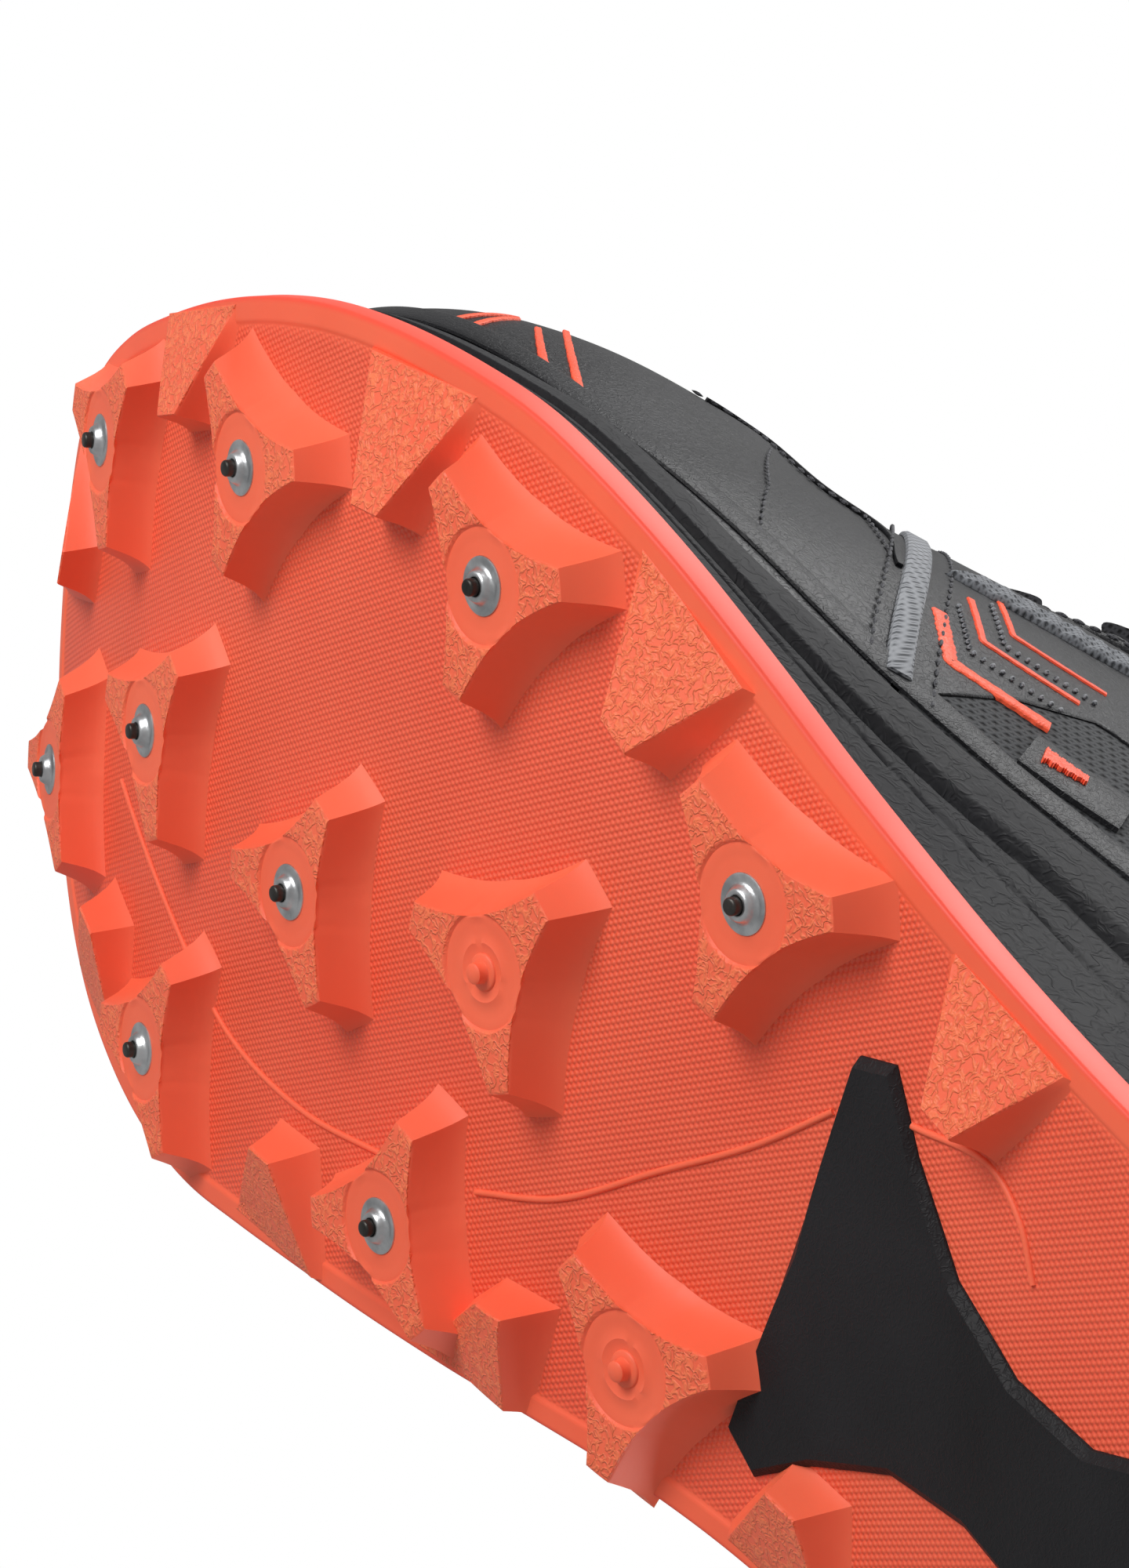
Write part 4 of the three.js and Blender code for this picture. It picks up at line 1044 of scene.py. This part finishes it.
def crownPadding(piece):
    # the inner face stands off by sine to the power 0.6, with a shallow channel along its middle
    rows, columns = upper["paddingRows"], upper["paddingColumns"]
    points = np.empty(2 * rows * columns * 3)
    piece.data.vertices.foreach_get("co", points)
    points = points.reshape(2, rows, columns, 3)
    v = np.linspace(0, 1, columns)[None, :, None]
    depth = np.sin(math.pi * v) ** 0.6 * (1 - 0.35 * bump(v, 0.5, 0.08))
    points[1] = points[0] + (points[1] - points[0]) * (0.25 + 0.75 * depth)
    piece.data.vertices.foreach_set("co", points.ravel())


addUpper()
print("upper panels made")


def skinPath(points, count):  # place and height rows, straight between the points, spaced evenly
    return evenly(np.array(points, float), count)


def stripOnSkin(path, width, lift, ragged=0.0, taper=0.0):
    # a flat band along the path: square to it and to the skin's normal, with rounded edges
    place, height = path.T
    centre = skin(place, height)
    normal = skinFrame(place, height)[2]
    ahead = np.gradient(centre, axis=0)
    side = unit(np.cross(normal, ahead))
    t = np.linspace(0, 1, len(path))
    wide = width * (1 - taper * t) * (1 + ragged * np.sin(t * 71) * np.sin(t * 37 + 1))
    across = np.array([-0.5, -0.47, -0.36, 0, 0.36, 0.47, 0.5, 0.3, -0.3])
    up = np.array([0.1, 0.72, 1, 1, 1, 0.72, 0.1, -0.6, -0.6])
    rings = centre[:, None] + side[:, None] * (across[None, :, None] * wide[:, None, None])
    rings = rings + normal[:, None] * (up[None, :, None] * lift)
    return capped(rings)


def stitchesOnSkin(path, pitch, length, radius, lift):
    # one lozenge a pitch along the path: six rings whose radius follows a half sine
    place, height = path.T
    line = offSkin(place, height, lift)
    run = np.r_[0, np.cumsum(np.linalg.norm(np.diff(line, axis=0), axis=1))]
    starts = np.arange(0, run[-1] - length, pitch)[:, None]
    along = np.linspace(0, 1, 6)[None, :]
    at = starts + along * length
    centre = np.stack([np.interp(at, run, line[:, k]) for k in range(3)], -1)
    normal = skinFrame(np.interp(at[:, :1], run, place), np.interp(at[:, :1], run, height))[2]
    ahead = centre[:, -1:] - centre[:, :1]
    side = unit(np.cross(normal, ahead))
    size = radius * (0.15 + 0.85 * np.sin(math.pi * along))
    turn = circle(6)
    rings = centre[:, :, None] + size[..., None, None] * (
        np.cos(turn)[:, None] * side[:, :, None] + np.sin(turn)[:, None] * normal[:, :, None])
    vertices = rings.reshape(-1, 3)
    one = gridFaces(6, 6, closeColumns=True)
    caps = np.array([[0, 1, 2, 3], [0, 3, 4, 5], [33, 32, 31, 30], [35, 34, 33, 30]])
    one = outwardFaces(vertices[:36], np.vstack([one, caps]))
    faces = (one[None] + 36 * np.arange(len(starts))[:, None, None]).reshape(-1, 4)
    return vertices, faces


trim = {
    "toeStripes": [
        [(0.255, 0.125), (0.237, 0.29)], [(0.268, 0.12), (0.246, 0.27)],
        [(0.317, 0.13), (0.263, 0.26)], [(0.332, 0.145), (0.248, 0.34)]],
    "toeStripeWidth": 1.1,
    "chevrons": [
        ([(0.44, 0.451), (0.463, 0.376), (0.492, 0.428)], 1.0),
        ([(0.449, 0.355), (0.472, 0.28), (0.501, 0.332)], 2.0),
        ([(0.436, 0.526), (0.459, 0.451), (0.488, 0.503)], 0.9)],
    "dotRows": [
        [(0.442, 0.482), (0.465, 0.407), (0.494, 0.459)],
        [(0.445, 0.405), (0.468, 0.33), (0.497, 0.382)]],
    "rand": [(0, 0.13), (0.1, 0.13), (0.2, 0.135), (0.318, 0.14), (0.394, 0.16), (0.464, 0.17), (0.51, 0.2),
             (0.55, 0.225), (0.62, 0.24), (0.72, 0.22), (0.82, 0.22)],
    "vampLine": [(0.33, 0.486), (0.381, 0.316), (0.417, 0.158)],
    "overlayEdge": [(0.287, 0.451), (0.302, 0.529), (0.382, 0.499), (0.422, 0.383)],
    "piping": [(0.29, 0.47), (0.302, 0.535), (0.382, 0.505), (0.424, 0.385)],
    "stayLine": [(0.335, 0.872), (0.612, 0.872)],
    "backSeam": [(0.782, 0.2), (0.782, 0.985)],
    "patch": [(0.508, 0.262), (0.538, 0.3)],
    "blob": [(0.512, 0.268), (0.524, 0.29)],
}


def both(points, sign):  # the same points on the lateral side (1) or the medial side (-1)
    return [(place * sign, height) for place, height in points]


def addTrim():
    film, bands, threads, dots, rands = [], [], [], [], []
    for sign in (1, -1):
        film += [stripOnSkin(skinPath(both(line, sign), 90), trim["toeStripeWidth"], 0.3, 0.1, 0.3)
                 for line in trim["toeStripes"]]
        film += [stripOnSkin(skinPath(both(line, sign), 160), width, 0.5, 0.12)
                 for line, width in trim["chevrons"]]
        film.append(stripOnSkin(skinPath(both(trim["blob"], sign), 40), 3.2, 1.1, 0.3, 0.5))
        height = np.linspace(0.17, 0.86, 200)
        seam = np.stack([sign * (seamPlace(height) + 0.002), height], -1)
        bands.append(stripOnSkin(seam, 3.0, 0.75, 0.0))
        for shiftBy in (-0.012, 0.014):
            threads.append(stitchesOnSkin(seam + [sign * shiftBy, 0], 2.2, 1.6, 0.24, 0.42))
        for line in (trim["vampLine"], trim["overlayEdge"]):
            threads.append(stitchesOnSkin(skinPath(both(line, sign), 200), 2.0, 1.45, 0.22, 0.3))
        stay = skinPath(both(trim["stayLine"], sign), 300)
        threads.append(stitchesOnSkin(stay, 2.2, 1.6, 0.24, 1.45))
        dots += [stitchesOnSkin(skinPath(both(line, sign), 300), 1.15, 0.6, 0.3, 0.5)
                 for line in trim["dotRows"]]
        backSeam = skinPath(both(trim["backSeam"], sign), 120)
        rands.append(stripOnSkin(backSeam, 5.0, 0.55))
        threads += [stitchesOnSkin(backSeam + [side, 0], 2.2, 1.6, 0.22, 0.62) for side in (-0.0055, 0.0055)]
        rands.append(stripOnSkin(skinPath(both(trim["patch"], sign), 40), 8.0, 0.7))
        rands.append(stripOnSkin(denseCurve(np.array(both(trim["piping"], sign)), 200), 0.8, 0.5))
    wholeRand = both(trim["rand"][:0:-1], -1) + trim["rand"]
    rands.append(stripOnSkin(denseCurve(np.array(wholeRand, float), 620), 4.2, 0.45))
    for name, parts, slotName, finishName in (
            ("orange_film_marks", film, "outsole_rubber", "film"),
            ("seam_bands", bands, "webbing_tape", "seam"),
            ("upper_stitching", threads, "webbing_tape", "thread"),
            ("embossed_dots", dots, "webbing_tape", "seam"),
            ("rand_strips", rands, "eyestay_coating", "eyestay")):
        makePiece(name, gather(parts), finishName)


addTrim()
print("trim made")


def throatPoint(along, b, underside, crown):
    # across the throat from the lateral edge (b -0.5) to the medial edge (b 0.5); past them, down the upper
    along, b = np.broadcast_arrays(np.asarray(along, float), np.asarray(b, float))
    side = np.where(b < 0, along, -along)
    reach = np.abs(b)
    down = offSkin(side, 1 - np.maximum(reach - 0.5, 0) * 0.42, underside + 0 * side)
    middle = (skin(along, 1) + skin(-along, 1)) / 2 + [0, 0, crown]
    t = np.minimum(reach / 0.5, 1)
    share = (t * t * (3 - 2 * t) * 0.35 + t * 0.65)[..., None]
    return np.where((reach > 0.5)[..., None], down, middle + (down - middle) * share)


def addTongue():
    # a padded sheet under the throat, thin at its edges, whose top leans up and back beyond the last row
    u, v = grid(120, 70)
    along = 0.27 + 0.33 * np.minimum(u / 0.85, 1)
    lean = (np.maximum(0, u - 0.85) / 0.15)[..., None] * [0, 15, 17]
    low = -upper["wall"] - upper["tongueGap"]
    edge = np.clip(np.minimum(np.minimum(u, 1 - u) * 18, np.minimum(v, 1 - v) * 12), 0, 1)
    crown = np.sqrt(edge * (2 - edge))[..., None] * (1 - 0.25 * bump((u * 7) % 1, 0.5, 0.1))[..., None]
    outer = throatPoint(along, 2 * v - 1, low, 0.3) + lean
    inner = throatPoint(along, 2 * v - 1, low - upper["tongueThickness"], -upper["tongueThickness"]) + lean
    middle = (outer + inner) / 2
    body = shell(*(middle + (face - middle) * (0.15 + 0.85 * crown) for face in (outer, inner)))
    flat = np.stack([u * 0.11, v * 0.05], -1).reshape(-1, 2)
    piece = makePiece("tongue_pad", body, "tongue", uv=np.vstack([flat, flat]))
    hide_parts("tongue")


def flatCord(centre, across, width, thickness, around=20):
    # a flat lace: a squared oval carried along the path, its long axis along the shoe
    ahead = np.gradient(centre, axis=0)
    up = unit(np.cross(ahead, across))
    up *= np.sign(up[:, 2:3])
    c, s = np.cos(circle(around)), np.sin(circle(around))
    wide, high = np.sign(c) * np.abs(c) ** 0.7 * width / 2, np.sign(s) * np.abs(s) ** 0.7 * thickness / 2
    raised = up[:, None] * (high + thickness / 2)[None, :, None]
    return capped(centre[:, None] + across * wide[None, :, None] + raised)


def addLaces():
    # each row arches over the throat; a running mean of 17 points eases it over the eyestays' edges
    for row in range(upper["laceRows"]):
        along = upper["firstRow"] + upper["rowStep"] * row
        b = np.linspace(-0.66, 0.66, 110)
        lift = upper["laceLift"] - 0.6 * smooth(0.56, 0.66, np.abs(b))
        path = throatPoint(along, b, lift, upper["laceCrown"])
        path = np.stack([np.convolve(np.pad(path[:, k], 8, mode="edge"), np.ones(17) / 17, "valid")
                         for k in range(3)], -1)
        across = unit(skin(along + 0.01, 1) - skin(along - 0.01, 1))
        cord = flatCord(path, across, upper["laceWidth"], upper["laceThickness"])
        piece = makePiece(f"lace_row_{row + 1}_flat", cord, "lace")
        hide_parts(f"lace_row_{row + 1}")


def middleAndHalf(box):  # a CAD node's box as its middle and half its size, in this script's millimetres
    low, high = (np.array(corner) * 1000 - shift for corner in box)
    return (low + high) / 2, (high - low) / 2


def addKnot():
    # a trefoil closed on itself, squeezed flat, stands for the drawn-up knot
    middle, size = middleAndHalf(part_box("lace_knot"))
    turns, sides, radius = 240, 14, upper["cordRadius"]
    t = circle(turns)
    path = np.stack([(np.sin(t) + 2 * np.sin(2 * t)) / 3 * (size[0] - radius),
                     (np.cos(t) - 2 * np.cos(2 * t)) / 3 * (size[1] - radius),
                     -np.sin(3 * t) * (size[2] - radius)], -1) + middle
    ahead = unit(np.roll(path, -1, axis=0) - np.roll(path, 1, axis=0))
    side = unit(np.cross(ahead, path - middle))
    vertices = ringsRound(path, ahead, side, radius, sides).reshape(-1, 3)
    faces = outwardFaces(vertices, gridFaces(turns, sides, closeRows=True, closeColumns=True))
    piece = makePiece("lace_knot_tied", (vertices, faces), "lace")
    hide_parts("lace_knot")


def addEyelets():
    # punched rings on both eyestays: a circle of circles in the skin's own frame
    rings, ringRadius, wire = [], 2.1, 0.45
    big, small = circle(40)[:, None, None], circle(10)[None, :, None]
    reach = ringRadius + wire * np.cos(small)
    faces = gridFaces(40, 10, closeRows=True, closeColumns=True)
    for sign in (1, -1):
        for row in range(upper["laceRows"]):
            place, height = np.array(sign * (upper["firstRow"] + upper["rowStep"] * row)), np.array(0.945)
            alongPlace, _, normal = skinFrame(place, height)
            first = unit(alongPlace)
            second = np.cross(normal, first)
            points = offSkin(place, height, 1.5) + (np.cos(big) * first + np.sin(big) * second) * reach
            vertices = (points + wire * np.sin(small) * normal).reshape(-1, 3)
            rings.append((vertices, outwardFaces(vertices, faces)))
    makePiece("lace_eyelets", gather(rings), "counter")


def addPocket():
    # the elastic pocket on the tongue that holds the lace ends
    u, v = grid(50, 50)
    up = (1 + 5 * u) / 6
    base = throatPoint(0.6, 0.6 * v - 0.3, -upper["wall"] - upper["tongueGap"], 0.3)
    edge = softEdge(u, v, 50, 50)
    body = shell(*(base + np.stack([0 * u, 3 + 11 * up, 3.4 + 12.5 * up + lift], -1)
                   for lift in (0.8 + 2.4 * edge, 0.6)))
    piece = makePiece("lace_pocket_elastic", body, "eyestay")
    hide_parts("lace_pocket")


def addBinding():
    # a padded roll over the collar's edge, from one side of the throat round the heel to the other
    place = np.linspace(0.62, 1.38, 320)
    centre = offSkin(place, 1.0 + 0 * place, -3.0)
    around, girth, length = 20, 0.015, 0.27
    turn = np.append(np.tile(np.linspace(0, girth, around, endpoint=False), len(place)), [0, 0])
    run = np.append(np.repeat(np.linspace(0, length, len(place)), around), [0, length])
    piece = makePiece("collar_binding", tubeAlong(centre, upper["bindingRadius"], around),
                      "lining", uv=np.stack([run, turn], -1))


def addLaceEnds():
    # round cord from the last row up to the knot, and from the knot in under the pocket
    knot, _ = middleAndHalf(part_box("lace_knot"))
    pocket, _ = middleAndHalf(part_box("lace_pocket"))
    cords = []
    for side in (1, -1):
        start = throatPoint(0.58, 0.3 * side, upper["laceLift"] + 1.4, upper["laceCrown"] + 1.4)
        route = np.array([start, (start + knot) / 2 + [0, 0, 2.5], knot + [3 * side, 0, 0.5]])
        tuck = np.array([knot + [2.5 * side, 0.5, 0], (knot + pocket) / 2 + [5 * side, 0, 1],
                         pocket + [3.5 * side, 0, 0.2]])
        cords += [tubeAlong(denseCurve(line, 50), upper["cordRadius"], 12) for line in (route, tuck)]
    makePiece("lace_ends", gather(cords), "lace")


addTongue()
addLaces()
addLaceEnds()
addKnot()
addEyelets()
addPocket()
addBinding()
print("tongue and laces made")
